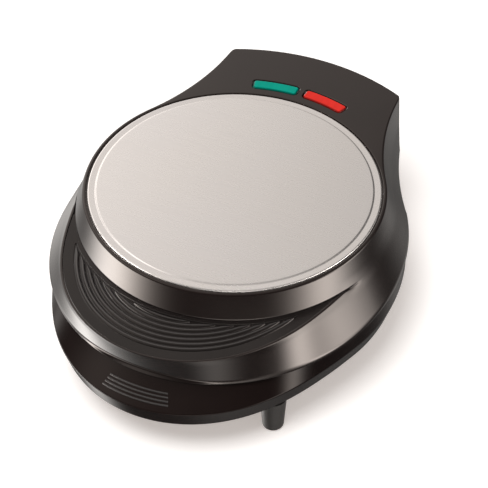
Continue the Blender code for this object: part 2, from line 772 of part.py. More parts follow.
def make_grip_insert(carrier):
    low = CREST_Z - STEP_DEPTH + SEAT_GAP
    floor = low + PANEL_SHEET
    edge = STEP_LEDGE + SEAT_GAP
    rim = panel_outline(edge, SEAT_GAP, PANEL_TIP, PANEL_STEPS)
    pocket = panel_outline(POCKET_OUTER, POCKET_INNER, PANEL_TIP, PANEL_STEPS)
    rings = [raised(rim, low), raised(rim, floor + PANEL_RISE),
             raised(pocket, floor + PANEL_RISE), raised(pocket, floor)]
    insert = piece("grip_insert", loft_mesh(rings), "matt_black", carrier)
    ribs = []
    for rib in range(PANEL_RIBS):
        outline = rib_outline(POCKET_OUTER + RIB_GROOVE + rib * RIB_PITCH, POCKET_INNER + RIB_GROOVE)
        ribs.append(prism_mesh(outline, floor - PANEL_SHEET / 2, floor + RIB_RISE))
    unite(insert, "panel_ribs", merged(ribs))


def make_steel_disc(carrier):
    ring_inner = DISC_RADIUS - DISC_RING_WIDTH
    step_inner = ring_inner - DISC_STEP_WIDTH
    low = SEAT_Z + SEAT_GAP
    ring_z = low + DISC_SHEET
    profile = (
        (0, ring_z + DISC_STEP + DISC_RING_FALL + DISC_DOME),
        (step_inner / 2, ring_z + DISC_STEP + DISC_RING_FALL + DISC_DOME * DOME_HALFWAY_SHARE),
        (step_inner, ring_z + DISC_STEP + DISC_RING_FALL),
        (ring_inner, ring_z + DISC_RING_FALL),
        (DISC_RADIUS - DISC_ROLL, ring_z),
        (DISC_RADIUS, ring_z - DISC_ROLL / 2),
        (DISC_RADIUS, low),
        (DISC_RADIUS - DISC_SHEET, low),
        (ring_inner - DISC_SHEET / 2, low + DISC_RING_FALL),
        (step_inner - DISC_SHEET / 2, low + DISC_STEP + DISC_RING_FALL),
        (0, low + DISC_STEP + DISC_RING_FALL + DISC_DOME),
    )
    piece("steel_disc", turned_mesh(profile, DISC_SIDES), "brushed_steel", carrier)


def make_lenses(carrier):
    flange_top = CEILING_Z - SEAT_GAP
    for name, side, finish in (("ready_lens", -1, "green_lens"), ("power_lens", 1, "red_lens")):
        flange = mirrored(lens_outline(LENS_FLANGE), side)
        body = mirrored(lens_outline(0), side)
        crown = mirrored(lens_outline(-LENS_BEVEL), side)
        rings = [raised(flange, flange_top - LENS_FLANGE), raised(flange, flange_top),
                 raised(body, flange_top), raised(body, TOP_Z), raised(crown, TOP_Z + LENS_CROWN)]
        piece(name, loft_mesh(rings), finish, carrier)


def make_lamps(carrier):
    """Two neon lamps lying on a holder that hangs from the ceiling beside the lenses."""
    plate_z = CEILING_Z - HOLDER_DROP
    half = (DISC_RADIUS + LENS_MARGIN + LENS_WIDTH) * math.sin(LENS_LAST) + LENS_FLANGE + HOLDER_MARGIN
    front = DISC_RADIUS + LENS_MARGIN - HOLDER_FRONT
    back = HINGE_Y - EAR_RADIUS - HOLDER_LUG_GAP
    middle = (front + back) / 2
    holder = piece("lamp_holder", box_mesh((-half, front, plate_z - HOLDER_SHEET), (half, back, plate_z)),
                   "white_plastic", carrier)
    posts = []
    for side in (-1, 1):
        left, right = sorted((side * half, side * (half + HOLDER_POST)))
        posts.append(box_mesh((left, front, plate_z - HOLDER_SHEET), (right, back, CEILING_Z - SEAT_GAP)))
    left_post, right_post = posts
    unite(holder, "left_holder_post", left_post)
    unite(holder, "right_holder_post", right_post)
    half_lamp = LAMP_LENGTH / 2
    end = LAMP_RADIUS * LAMP_END_SHARE
    profile = ((0, -half_lamp), (end, -half_lamp), (LAMP_RADIUS, end - half_lamp),
               (LAMP_RADIUS, half_lamp - end), (end, half_lamp), (0, half_lamp))
    for name, side in (("ready_lamp", -1), ("power_lamp", 1)):
        centre = (side * half * LAMP_PLACE_SHARE, middle, plate_z + SEAT_GAP + LAMP_RADIUS)
        piece(name, lying(turned_mesh(profile, SCREW_SIDES), centre), "white_plastic", carrier)


def half_moon(inset):
    """Plan of one cavity on the +X side: an arc, a straight side and two rounded corners."""
    radius = CAVITY_RADIUS - inset
    corner = CAVITY_CORNER - inset
    chord = RIDGE_HALF + inset
    away = radius - corner
    across = chord + corner
    along = math.sqrt(away ** 2 - across ** 2)
    reach = math.atan2(along, across)
    points = []
    for step in range(MOON_STEPS + 1):
        turn = -reach + 2 * reach * step / MOON_STEPS
        points.append(Vector((math.cos(turn), math.sin(turn))) * radius)
    for step in range(1, CORNER_STEPS + 1):
        turn = reach + (math.pi - reach) * step / CORNER_STEPS
        points.append(Vector((across, along)) + Vector((math.cos(turn), math.sin(turn))) * corner)
    for step in range(CORNER_STEPS):
        turn = math.pi + (math.pi - reach) * step / CORNER_STEPS
        points.append(Vector((across, -along)) + Vector((math.cos(turn), math.sin(turn))) * corner)
    return points


def ledge_screw_holes(low, high):
    """Cutters for the four plate screws."""
    profile = ((HOLE_RADIUS, low), (HOLE_RADIUS, high))
    return merged([turned_mesh(profile, SCREW_SIDES, heading(angle) * PLATE_SCREW_RADIUS)
                   for angle in PLATE_SCREW_ANGLES])


def make_cooking_plate(name, face, reach, carrier):
    """Cast plate with two half-moon cavities, its casting reaching up or down from the food side."""
    back = face + reach * PLATE_THICKNESS
    plate = piece(name, turned_mesh(((PLATE_RADIUS, face), (PLATE_RADIUS, back)), DISC_SIDES),
                  "coated_metal", carrier)
    bosses = []
    cavities = []
    for side in (-1, 1):
        outside = [raised(mirrored(half_moon(share * CAVITY_ROUND - CAST_WALL), side),
                          face + reach * (CAST_WALL / 2 + depth * (CAVITY_DEPTH + CAST_WALL / 2)))
                   for depth, share in CAVITY_SHARES]
        bosses.append(loft_mesh(outside))
        mouth = raised(mirrored(half_moon(0), side), face - reach * OVERRUN)
        inside = [raised(mirrored(half_moon(share * CAVITY_ROUND), side),
                         face + reach * depth * CAVITY_DEPTH) for depth, share in CAVITY_SHARES]
        cavities.append(loft_mesh([mouth] + inside))
    unite(plate, name + "_bosses", merged(bosses))
    cut(plate, name + "_cavities", merged(cavities))
    low, high = sorted((back + reach * OVERRUN, back - reach * (SCREW_BITE + SEAT_GAP)))
    cut(plate, name + "_screw_holes", ledge_screw_holes(low, high))


def heater_path(height):
    """Horseshoe about the disc axis, turned back into two straight tails towards the rear."""
    half = []
    steps = round(HEATER_SWEEP / TUBE_STEP)
    for step in range(steps + 1):
        half.append(heading(HEATER_SWEEP * step / steps) * HEATER_RADIUS)
    centre = heading(HEATER_SWEEP) * (HEATER_RADIUS + HEATER_BEND)
    bend = math.pi - HEATER_SWEEP
    back_turn = math.pi / 2 - bend
    steps = round(back_turn / TUBE_STEP)
    for step in range(1, steps + 1):
        turn = math.pi / 2 + bend + back_turn * step / steps
        half.append(centre + Vector((math.cos(turn), -math.sin(turn))) * HEATER_BEND)
    tail = CAVITY_RADIUS + CAST_WALL - HEATER_TAIL_MARGIN
    half.append(Vector((half[-1].x, tail)))
    left = mirrored(half[:0:-1], -1)
    return raised(left + half, height)


def tube_mesh(path, radius, sides):
    """Round tube along a level path."""
    rings = []
    for here, point in enumerate(path):
        before = path[max(here - 1, 0)]
        after = path[min(here + 1, len(path) - 1)]
        along = (after - before).normalized()
        across = Vector((along.y, -along.x, 0))
        turns = [2 * math.pi * side / sides for side in range(sides)]
        rings.append([point + across * radius * math.cos(turn) + Vector((0, 0, radius * math.sin(turn)))
                      for turn in turns])
    return loft_mesh(rings)


def clip_mesh(angle, tube_z, reach):
    """Strap bent round the tube, with two feet on the casting; reach points away from the plate."""
    inner = TUBE_RADIUS + SEAT_GAP
    outer = inner + CLIP_SHEET
    seat = tube_z - reach * TUBE_RADIUS
    foot_under = seat + reach * CLIP_SHEET
    turns = [math.pi * step / (2 * CORNER_STEPS) for step in range(2 * CORNER_STEPS + 1)]
    profile = [Vector((outer + CLIP_FOOT, seat)), Vector((outer + CLIP_FOOT, foot_under)),
               Vector((outer, foot_under))]
    profile += [Vector((outer * math.cos(turn), tube_z + reach * outer * math.sin(turn))) for turn in turns]
    profile += [Vector((-outer, foot_under)), Vector((-outer - CLIP_FOOT, foot_under)),
                Vector((-outer - CLIP_FOOT, seat)), Vector((-inner, seat))]
    profile += [Vector((inner * math.cos(turn), tube_z + reach * inner * math.sin(turn)))
                for turn in reversed(turns)]
    profile.append(Vector((inner, seat)))
    out = heading(angle)
    along = Vector((-out.y, out.x))
    rings = []
    for end in (-1, 1):
        start = out * HEATER_RADIUS * math.cos(TUBE_STEP / 2) + along * (end * CLIP_WIDTH / 2)
        rings.append([Vector((start.x + out.x * point.x, start.y + out.y * point.x, point.y))
                      for point in profile])
    return loft_mesh(rings)


def make_heater(level, tube_z, reach, carrier):
    """Tubular heating element with its two clips."""
    path = heater_path(tube_z)
    piece(level + "_heater", tube_mesh(path, TUBE_RADIUS, TUBE_SIDES), "heating_steel", carrier)
    for name, angle in (("left", -CLIP_ANGLE), ("right", CLIP_ANGLE)):
        piece(level + "_heater_clip_" + name, clip_mesh(angle, tube_z, reach), "plain_steel", carrier)


def make_shield(name, radius, low, carrier):
    """Shallow pressed tray."""
    profile = ((0, low), (radius, low), (radius, low + SHIELD_SHEET + SHIELD_LIP),
               (radius - SHIELD_SHEET, low + SHIELD_SHEET + SHIELD_LIP),
               (radius - SHIELD_SHEET, low + SHIELD_SHEET), (0, low + SHIELD_SHEET))
    piece(name, turned_mesh(profile, DISC_SIDES // 2), "plain_steel", carrier)


def screw_mesh(place_at, head_z, seat_z, end_z):
    """Pan-headed screw: its head from head_z to seat_z, its shank on to end_z."""
    edge_z = head_z + (seat_z - head_z) * SCREW_EDGE_SHARE
    profile = ((0, head_z), (SCREW_HEAD_RADIUS * SCREW_TOP_SHARE, head_z), (SCREW_HEAD_RADIUS, edge_z),
               (SCREW_HEAD_RADIUS, seat_z), (SCREW_RADIUS, seat_z), (SCREW_RADIUS, end_z), (0, end_z))
    return turned_mesh(profile, SCREW_SIDES, place_at)


def place_name(angle):
    """Front or rear, left or right, from a plan angle; +X is on the viewer's right."""
    side = "right" if angle > 0 else "left"
    end = "front" if abs(angle) < math.pi / 2 else "rear"
    return end + "_" + side


def make_lid_frame(carrier):
    """Ring in the lid's mouth, with a ledge that the upper cooking plate hangs from."""
    outer = LID_LOW.inset(LID_EDGE + SEAT_GAP).with_flat_back(HINGE_Y - FRAME_BACK_MARGIN).ring()
    low = FRAME_Z
    ledge = UPPER_PLATE_FACE + PLATE_THICKNESS + SEAT_GAP
    rings = [raised(circle(OPENING_RADIUS), low), raised(outer, low), raised(outer, low + FRAME_WALL),
             raised(circle(LEDGE_OUTER), low + FRAME_WALL), raised(circle(LEDGE_OUTER), ledge + LEDGE_WALL),
             raised(circle(LEDGE_INNER), ledge + LEDGE_WALL), raised(circle(LEDGE_INNER), ledge),
             raised(circle(OPENING_RADIUS), ledge)]
    frame = piece("lid_frame", loft_mesh(rings, looped=True), "matt_black", carrier)
    cut(frame, "frame_screw_holes", ledge_screw_holes(ledge - OVERRUN, ledge + LEDGE_WALL + OVERRUN))
    seat = ledge + LEDGE_WALL + SEAT_GAP
    for angle in PLATE_SCREW_ANGLES:
        shape = screw_mesh(heading(angle) * PLATE_SCREW_RADIUS, seat + SCREW_HEAD, seat,
                           UPPER_PLATE_FACE + PLATE_THICKNESS - SCREW_BITE)
        piece("upper_plate_screw_" + place_name(angle), shape, "plain_steel", carrier)


def rim_reach(angle):
    """Reach of the base's widest line: near its top edge, and drawn out to a lip at the front."""
    neck = hump(max(BASE_TOP.corner - abs(angle), 0), RIM_NECK_SPAN)
    reach = BASE_MIDDLE.reach(angle) + RIM_GROWTH * (1 - neck)
    if abs(angle) < math.pi / 2:
        reach = smooth_min(PLATE_RADIUS + RIM_MARGIN, reach, RIM_BLEND)
    return reach + LIP_REACH * hump(angle, LIP_SPAN)


def rim_ring(inset=0.0):
    turns = [BASE_TOP.warped(angle) for angle in STATIONS]
    return [heading(turn) * (rim_reach(turn) - inset) for turn in turns]


def floor_ring(inset=0.0):
    """Edge of the floor, undercut all round below the rim."""
    return rim_ring(RIM_UNDERCUT + inset)


def base_shell():
    """Closed section of the base, from its top edge outside, round the floor and back inside."""
    rise = FLOOR_UNDERSIDE + BASE_EDGE_RISE
    cover = floor_ring(COVER_INSET)
    opening = floor_ring(COVER_INSET + COVER_LEDGE)
    ledge_top = LOWER_PLATE_TOP - PLATE_THICKNESS - SEAT_GAP
    ledge_low = ledge_top - LEDGE_WALL
    return [
        raised(circle(OPENING_RADIUS), BASE_TOP_Z),
        raised(BASE_TOP.ring(), BASE_TOP_Z),
        raised(rim_ring(), RIM_Z),
        raised(floor_ring(), rise),
        raised(floor_ring(BASE_EDGE_INSET), FLOOR_UNDERSIDE),
        raised(cover, FLOOR_UNDERSIDE),
        raised(cover, COVER_LEDGE_Z),
        raised(opening, COVER_LEDGE_Z),
        raised(opening, FLOOR_TOP),
        raised(floor_ring(FLOOR_INSET), FLOOR_TOP),
        raised(rim_ring(RIM_WALL), RIM_Z - RIM_WALL / 2),
        raised(BASE_TOP.inset(BASE_WALL).ring(), BASE_TOP_Z - BASE_WALL),
        raised(circle(LEDGE_OUTER), BASE_TOP_Z - BASE_WALL),
        raised(circle(LEDGE_OUTER), ledge_low),
        raised(circle(LEDGE_INNER), ledge_low),
        raised(circle(LEDGE_INNER), ledge_top),
        raised(circle(OPENING_RADIUS), ledge_top),
    ]


def lip_rib(share):
    """Low rib across the front of the lip, part of the way from its top edge to its rim."""
    slope = Vector((BASE_FRONT - BASE_TOP.front, RIM_Z - BASE_TOP_Z)).normalized()
    normal = Vector((-slope.y, slope.x))
    half = LIP_RIB_HALF + LIP_RIB_GROWTH * share
    rings = []
    for step in range(-LIP_RIB_STEPS, LIP_RIB_STEPS + 1):
        angle = step / LIP_RIB_STEPS * half / BASE_TOP.front
        top = BASE_TOP.reach(angle)
        rim = rim_reach(angle)
        centre = Vector((top + (rim - top) * share, BASE_TOP_Z + (RIM_Z - BASE_TOP_Z) * share))
        corners = []
        for along, out in ((-1, -1), (1, -1), (LIP_RIB_TOP_SHARE, 1), (-LIP_RIB_TOP_SHARE, 1)):
            corners.append(centre + slope * along * LIP_RIB_WIDTH / 2 + normal * out * LIP_RIB_RISE)
        rings.append([(heading(angle) * corner.x).to_3d() + Vector((0, 0, corner.y)) for corner in corners])
    return loft_mesh(rings)


def foot_places():
    """Plan place and name of each foot."""
    front = heading(FOOT_ANGLE) * (rim_reach(FOOT_ANGLE) - RIM_UNDERCUT - FOOT_INSET)
    rear = Vector((REAR_FOOT_HALF, FLOOR_BACK - REAR_FOOT_INSET))
    return (("front_right", front), ("front_left", Vector((-front.x, front.y))),
            ("rear_right", rear), ("rear_left", Vector((-rear.x, rear.y))))


def cover_screw_places():
    inset = RIM_UNDERCUT + COVER_INSET + COVER_SCREW_MARGIN
    return [(place_name(angle), heading(angle) * (rim_reach(angle) - inset))
            for angle in COVER_SCREW_ANGLES]


def holes(places, radius, low, high, sides=SCREW_SIDES):
    return merged([turned_mesh(((radius, low), (radius, high)), sides, place_at) for place_at in places])


def make_base_housing(carrier):
    housing = piece("base_housing", loft_mesh(base_shell(), looped=True), "gloss_black", carrier)
    ears = [cross_mesh(ear_profile(), side * EAR_HALF_SPACING - EAR_WIDTH / 2,
                       side * EAR_HALF_SPACING + EAR_WIDTH / 2) for side in (-1, 1)]
    unite(housing, "hinge_ears", merged(ears))
    cut(housing, "ear_bore", pin_bore(PIN_RADIUS + PIN_GAP))
    unite(housing, "lip_ribs", merged([lip_rib(share) for share in LIP_RIB_SHARES]))
    ledge_top = LOWER_PLATE_TOP - PLATE_THICKNESS - SEAT_GAP
    cut(housing, "ledge_screw_holes",
        ledge_screw_holes(ledge_top - LEDGE_WALL - OVERRUN, ledge_top + OVERRUN))
    floor_places = [place_at for _, place_at in foot_places()]
    floor_places += [place_at for _, place_at in cover_screw_places()]
    cut(housing, "floor_screw_holes",
        holes(floor_places, HOLE_RADIUS, FLOOR_UNDERSIDE - OVERRUN, FLOOR_TOP + OVERRUN))
    cut(housing, "gland_hole", holes([gland_place()], GLAND_RADIUS + SEAT_GAP,
                                     FLOOR_UNDERSIDE - OVERRUN, FLOOR_TOP + OVERRUN, PIN_SIDES))
    seat = ledge_top - LEDGE_WALL - SEAT_GAP
    for angle in PLATE_SCREW_ANGLES:
        shape = screw_mesh(heading(angle) * PLATE_SCREW_RADIUS, seat - SCREW_HEAD, seat,
                           LOWER_PLATE_TOP - PLATE_THICKNESS + SCREW_BITE)
        piece("lower_plate_screw_" + place_name(angle), shape, "plain_steel", carrier)


def make_hinge_pins(carrier):
    """Pins on the hinge axis, headed at their inner ends."""
    inner = EAR_HALF_SPACING - EAR_WIDTH / 2 - LUG_GAP - LUG_WIDTH - PIN_END
    outer = EAR_HALF_SPACING + EAR_WIDTH / 2 + LUG_GAP + LUG_WIDTH + PIN_END
    for name, side in (("left", -1), ("right", 1)):
        profile = ((0, side * (inner - PIN_HEAD)), (PIN_HEAD_RADIUS, side * (inner - PIN_HEAD)),
                   (PIN_HEAD_RADIUS, side * inner), (PIN_RADIUS, side * inner),
                   (PIN_RADIUS, side * outer), (0, side * outer))
        shape = lying(turned_mesh(profile, PIN_SIDES), (0, HINGE_Y, HINGE_Z))
        piece("hinge_pin_" + name, shape, "plain_steel", carrier)


def make_feet(carrier):
    profile = [(FOOT_TOP_RADIUS, FOOT_HEIGHT), (FOOT_LOW_RADIUS, FOOT_ROUND)]
    profile += [(FOOT_LOW_RADIUS - FOOT_ROUND * inward, FOOT_ROUND * up) for inward, up in FOOT_ROUND_SHARES]
    profile += [(FOOT_COUNTERBORE, 0), (FOOT_COUNTERBORE, FOOT_COUNTERBORE_DEPTH),
                (HOLE_RADIUS, FOOT_COUNTERBORE_DEPTH), (HOLE_RADIUS, FOOT_HEIGHT)]
    seat = FOOT_COUNTERBORE_DEPTH - SEAT_GAP
    for name, place_at in foot_places():
        piece("foot_" + name, turned_mesh(profile, FOOT_SIDES, place_at, looped=True), "rubber", carrier)
        shape = screw_mesh(place_at, seat - SCREW_HEAD, seat, FLOOR_TOP + FOOT_SCREW_END)
        piece("foot_screw_" + name, shape, "plain_steel", carrier)


def make_bottom_cover(carrier):
    outline = floor_ring(COVER_INSET + SEAT_GAP)
    top = FLOOR_UNDERSIDE + COVER_SHEET
    cover = piece("bottom_cover", prism_mesh(outline, FLOOR_UNDERSIDE, top), "matt_black", carrier)
    vents = []
    for vent in range(VENT_COUNT):
        x = (vent - (VENT_COUNT - 1) / 2) * VENT_PITCH
        vents.append(box_mesh((x - VENT_WIDTH / 2, -VENT_LENGTH / 2, FLOOR_UNDERSIDE - OVERRUN),
                              (x + VENT_WIDTH / 2, VENT_LENGTH / 2, top + OVERRUN)))
    cut(cover, "vent_slots", merged(vents))
    places = [place_at for _, place_at in cover_screw_places()]
    cut(cover, "cover_screw_holes", holes(places, HOLE_RADIUS, FLOOR_UNDERSIDE - OVERRUN, top + OVERRUN))
    seat = FLOOR_UNDERSIDE - SEAT_GAP
    for name, place_at in cover_screw_places():
        shape = screw_mesh(place_at, seat - SCREW_HEAD, seat, FLOOR_TOP - SEAT_GAP)
        piece("cover_screw_" + name, shape, "plain_steel", carrier)


def gland_place():
    return Vector((0, FLOOR_BACK - GLAND_MARGIN))


def make_cord_gland(carrier):
    """Strain relief body clipped in the floor behind the bottom cover."""
    low = FLOOR_UNDERSIDE - SEAT_GAP
    high = FLOOR_TOP + SEAT_GAP
    profile = ((GLAND_BORE, low - GLAND_FLANGE_SHEET), (GLAND_FLANGE, low - GLAND_FLANGE_SHEET),
               (GLAND_FLANGE, low), (GLAND_RADIUS, low), (GLAND_RADIUS, high), (GLAND_COLLAR, high),
               (GLAND_COLLAR, high + GLAND_FLANGE_SHEET), (GLAND_BORE, high + GLAND_FLANGE_SHEET))
    piece("cord_gland", turned_mesh(profile, PIN_SIDES, gland_place(), looped=True), "rubber", carrier)


def make_electrical_pieces(carrier):
    top = LOWER_PLATE_TOP - PLATE_THICKNESS - SEAT_GAP
    place_at = Vector((0, LEDGE_INNER - THERMOSTAT_RADIUS - THERMOSTAT_MARGIN))
    profile = ((0, top), (THERMOSTAT_RADIUS, top), (THERMOSTAT_RADIUS, top - THERMOSTAT_HEIGHT),
               (0, top - THERMOSTAT_HEIGHT))
    thermostat = piece("thermostat", turned_mesh(profile, PIN_SIDES, place_at), "white_plastic", carrier)
    reach = THERMOSTAT_RADIUS + THERMOSTAT_TAB
    tab_top = top - THERMOSTAT_HEIGHT / 2
    tabs = box_mesh((-reach, place_at.y - THERMOSTAT_TAB_WIDTH / 2, tab_top - THERMOSTAT_TAB_SHEET),
                    (reach, place_at.y + THERMOSTAT_TAB_WIDTH / 2, tab_top))
    unite(thermostat, "thermostat_tabs", tabs)

    low = FLOOR_TOP + SEAT_GAP
    back = FLOOR_BACK - FLOOR_INSET - BLOCK_MARGIN
    left = -BLOCK_SIDE - BLOCK_LENGTH / 2
    block = piece("terminal_block", box_mesh((left, back - BLOCK_DEPTH, low),
                                             (left + BLOCK_LENGTH, back, low + BLOCK_HEIGHT)),
                  "white_plastic", carrier)
    pitch = BLOCK_LENGTH / BLOCK_POLES
    wells = [Vector((left + (pole + 0.5) * pitch, back - BLOCK_DEPTH / 2)) for pole in range(BLOCK_POLES)]
    cut(block, "terminal_wells", holes(wells, BLOCK_WELL, low + BLOCK_HEIGHT - BLOCK_WELL_DEPTH,
                                       low + BLOCK_HEIGHT + OVERRUN))
    profile = ((0, -FUSE_LENGTH / 2), (FUSE_RADIUS, -FUSE_LENGTH / 2), (FUSE_RADIUS, FUSE_LENGTH / 2),
               (0, FUSE_LENGTH / 2))
    centre = (-BLOCK_SIDE, back - BLOCK_DEPTH / 2, low + BLOCK_HEIGHT + SEAT_GAP + FUSE_RADIUS)
    piece("thermal_fuse", lying(turned_mesh(profile, SCREW_SIDES), centre), "plain_steel", carrier)


def clear_scene():
    for thing in list(bpy.data.objects):
        bpy.data.objects.remove(thing, do_unlink=True)


def build():
    clear_scene()
    base = empty("disc_axis", Vector((0, DISC_Y, 0)))
    lid = empty("lid_hinge_axis", Vector((0, DISC_Y + HINGE_Y, HINGE_Z)))
    make_lid_cover(lid)
    make_grip_insert(lid)
    make_steel_disc(lid)
    make_lenses(lid)
    make_lamps(lid)
    make_lid_frame(lid)
    make_cooking_plate("upper_cooking_plate", UPPER_PLATE_FACE, UP, lid)
    make_heater("upper", UPPER_TUBE_Z, UP, lid)
    make_shield("upper_heat_shield", DISC_RADIUS - SHIELD_MARGIN, UPPER_SHIELD_Z, lid)
    make_base_housing(base)
    make_hinge_pins(base)
    make_cooking_plate("lower_cooking_plate", LOWER_PLATE_TOP, DOWN, base)
    make_heater("lower", LOWER_TUBE_Z, DOWN, base)
    make_shield("lower_heat_shield", FLOOR_SHIELD_RADIUS, FLOOR_SHIELD_Z, base)
    make_electrical_pieces(base)
    make_bottom_cover(base)
    make_feet(base)
    make_cord_gland(base)


build()
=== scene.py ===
"""Looks of the electric omelette maker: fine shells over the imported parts, finishes, light and camera.

Plans are measured from the axis of the steel disc, heights from the table, all in metres. An angle in plan runs
from the front, -Y, towards +X.
"""
import json
from math import acos, atan2, copysign, cos, hypot, pi, radians, sin, sqrt

import bmesh
import bpy
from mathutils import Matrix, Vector


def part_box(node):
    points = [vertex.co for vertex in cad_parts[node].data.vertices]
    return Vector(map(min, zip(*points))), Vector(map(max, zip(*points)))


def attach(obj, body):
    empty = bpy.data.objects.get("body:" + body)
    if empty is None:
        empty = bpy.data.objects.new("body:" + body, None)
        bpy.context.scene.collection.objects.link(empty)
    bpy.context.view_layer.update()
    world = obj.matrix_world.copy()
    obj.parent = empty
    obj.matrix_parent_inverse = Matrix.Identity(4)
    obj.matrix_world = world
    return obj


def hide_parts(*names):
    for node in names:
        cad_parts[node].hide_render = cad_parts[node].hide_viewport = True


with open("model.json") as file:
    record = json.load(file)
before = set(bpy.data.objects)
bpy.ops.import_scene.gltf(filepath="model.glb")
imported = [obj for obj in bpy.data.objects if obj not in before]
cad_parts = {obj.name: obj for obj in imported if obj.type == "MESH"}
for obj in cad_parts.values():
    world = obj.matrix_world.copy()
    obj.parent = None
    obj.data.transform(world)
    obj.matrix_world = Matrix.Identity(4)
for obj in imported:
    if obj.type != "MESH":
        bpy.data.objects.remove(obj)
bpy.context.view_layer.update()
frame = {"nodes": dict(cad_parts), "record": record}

MM = 0.001

# Sizes read from the frame
disc_low, disc_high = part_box("steel_disc")
DISC_RADIUS = (disc_high.x - disc_low.x) / 2
DISC_Y = (disc_low.y + disc_high.y) / 2

# Clearances and walls
SEAT_GAP = 0.3 * MM
PIN_GAP = 0.3 * MM
LUG_GAP = 0.5 * MM
PLATE_GAP = 0.4 * MM
OVERRUN = 1 * MM
LID_WALL = 2.5 * MM
LID_EDGE = 4.7 * MM
BASE_WALL = 2.5 * MM
LEDGE_WALL = 2.4 * MM
RIM_WALL = 3 * MM

# Steel disc
DISC_SHEET = 0.8 * MM
DISC_RING_WIDTH = 4.6 * MM
DISC_STEP_WIDTH = 0.8 * MM
DISC_EDGE_ROLL = 0.5 * MM
DISC_STEP = 0.5 * MM
DISC_RING_LIFT = 0.45 * MM
DISC_RING_RISE = 0.13 * MM
DISC_DOME = 0.3 * MM
DISC_DOME_SHARES = (0, 0.3, 0.6, 0.85, 0.97)
DISC_SHARP = radians(60)
DISC_SEAT_DEPTH = 1.6 * MM
DISC_SEAT_GAP = 1 * MM
SEAT_CHAMFER = 0.4 * MM

# Cooking plates
PLATE_MARGIN = 6 * MM
PLATE_THICKNESS = 4 * MM
PLATE_PROUD = 0.6 * MM
PLATE_FIT = 0.5 * MM
CAVITY_MARGIN = 12 * MM
CAVITY_DEPTH = 12 * MM
CAVITY_CORNER = 20 * MM
CAVITY_ROUND = 8 * MM
CAVITY_LIP = 1.2 * MM
RIDGE_HALF = 4 * MM
CAST_WALL = 2.5 * MM
LEDGE_INNER_MARGIN = 7 * MM
LEDGE_SCREW_MARGIN = 3.5 * MM
PLATE_EDGE = 0.8 * MM

# Heights
RIM_HEIGHT = 14.3 * MM
BASE_EDGE_RISE = 1.7 * MM
BASE_EDGE_INSET = 2 * MM
SEAM = 0.9 * MM
LOWER_BAND_HEIGHT = 25.3 * MM
UPPER_BAND_HEIGHT = 16.1 * MM
LID_FLARE_HEIGHT = 2.2 * MM
LID_FLARE = 2.2 * MM
LID_FLARE_SPAN = radians(25)
LID_DRAFT = 0.3 * MM
COVER_SHEET = 1.5 * MM
FLOOR_WALL = 2 * MM

# Plans
TOP_MARGIN = 3.2 * MM
TOP_NECK_HALF = 61 * MM
TOP_NECK_HOLLOW = 170 * MM
NECK_LENGTH = 49.2 * MM
NECK_CORNER = 4.5 * MM
LID_FRONT_MARGIN = 33.7 * MM
LID_SHOULDER_MARGIN = 24.4 * MM
LID_SIDE_MARGIN = 12.9 * MM
NECK_HALF = 56 * MM
NECK_HOLLOW = 212 * MM
BAND_SPREAD = 5.04 * MM
BAND_FULL = 14 * MM
LID_OVERHANG = 2.8 * MM
RIM_MARGIN = 16 * MM
RIM_BLEND = 4 * MM
RIM_GROWTH = 2.2 * MM
RIM_NECK_SPAN = radians(55)
BACK_RAKE = 1 * MM
RIM_UNDERCUT = 4 * MM
LIP_REACH = 33.2 * MM
LIP_SPAN = radians(68)
FLOOR_INSET = 5 * MM
COVER_INSET = 22.5 * MM
COVER_LEDGE = 8 * MM

# Crescent step and its ribbed panel
STEP_WIDTH = 39.7 * MM
STEP_DEPTH = 3 * MM
STEP_LEDGE = 1.6 * MM
STEP_FADE = 1.5 * MM
STEP_SPAN = radians(75)
STEP_SHADOW = 0.5 * MM
PANEL_SHEET = 1.2 * MM
PANEL_RISE = 1 * MM
PANEL_OUTER_MARGIN = 6.8 * MM
PANEL_INNER_MARGIN = 2.7 * MM
PANEL_TIP = 1 * MM
RIB_WIDTH = 3.2 * MM
RIB_PITCH = 4 * MM
RIB_RISE = 1.2 * MM
RIB_TIP = 0.6 * MM
PANEL_RIBS = 7
# Share of a rib's rise above which its faces get the painted crest highlight
RIB_CREST_SHARE = 0.92

# Grip ribs on the lip of the base
LIP_RIB_SHARES = (0.436, 0.545, 0.655, 0.765)
LIP_RIB_HALF = 16 * MM
LIP_RIB_GROWTH = 5 * MM
LIP_RIB_WIDTH = 1.3 * MM
LIP_RIB_RISE = 1 * MM
# Shares of a lip rib's rise between which its faces get the painted crest highlight
LIP_RIB_TOP_SHARES = (0.2, 1.1)

# Hinge
HINGE_INSET = 19.8 * MM
HINGE_RISE = 0.3 * MM
HINGE_STANDOFF = 7 * MM
EAR_RADIUS = 6 * MM
EAR_HALF_SPACING = 33 * MM
EAR_WIDTH = 8 * MM
EAR_DROP = 11 * MM
LUG_WIDTH = 4.5 * MM
PIN_RADIUS = 2 * MM
PIN_END = 0.3 * MM
PIN_HEAD_RADIUS = 3.2 * MM
PIN_HEAD = 2 * MM
PIN_EDGE = 0.4 * MM

# Lenses
LENS_MARGIN = 7 * MM
LENS_WIDTH = 9 * MM
LENS_FIRST = radians(1.2)
LENS_LAST = radians(18.4)
LENS_CORNER = 2.5 * MM
LENS_FLANGE = 1.2 * MM
LENS_CROWN = 0.4 * MM
LENS_BEVEL = 0.8 * MM
LENS_GAP = 0.5 * MM
LENS_EDGE = 0.35 * MM
LENS_TOP_EDGE = 0.3 * MM

# Ring that carries the upper cooking plate
FRAME_RECESS = 0.6 * MM
FRAME_WALL = 2.5 * MM
FRAME_BACK_MARGIN = 16 * MM
FRAME_INNER_EDGE = 0.6 * MM
FRAME_OUTER_EDGE = 0.4 * MM

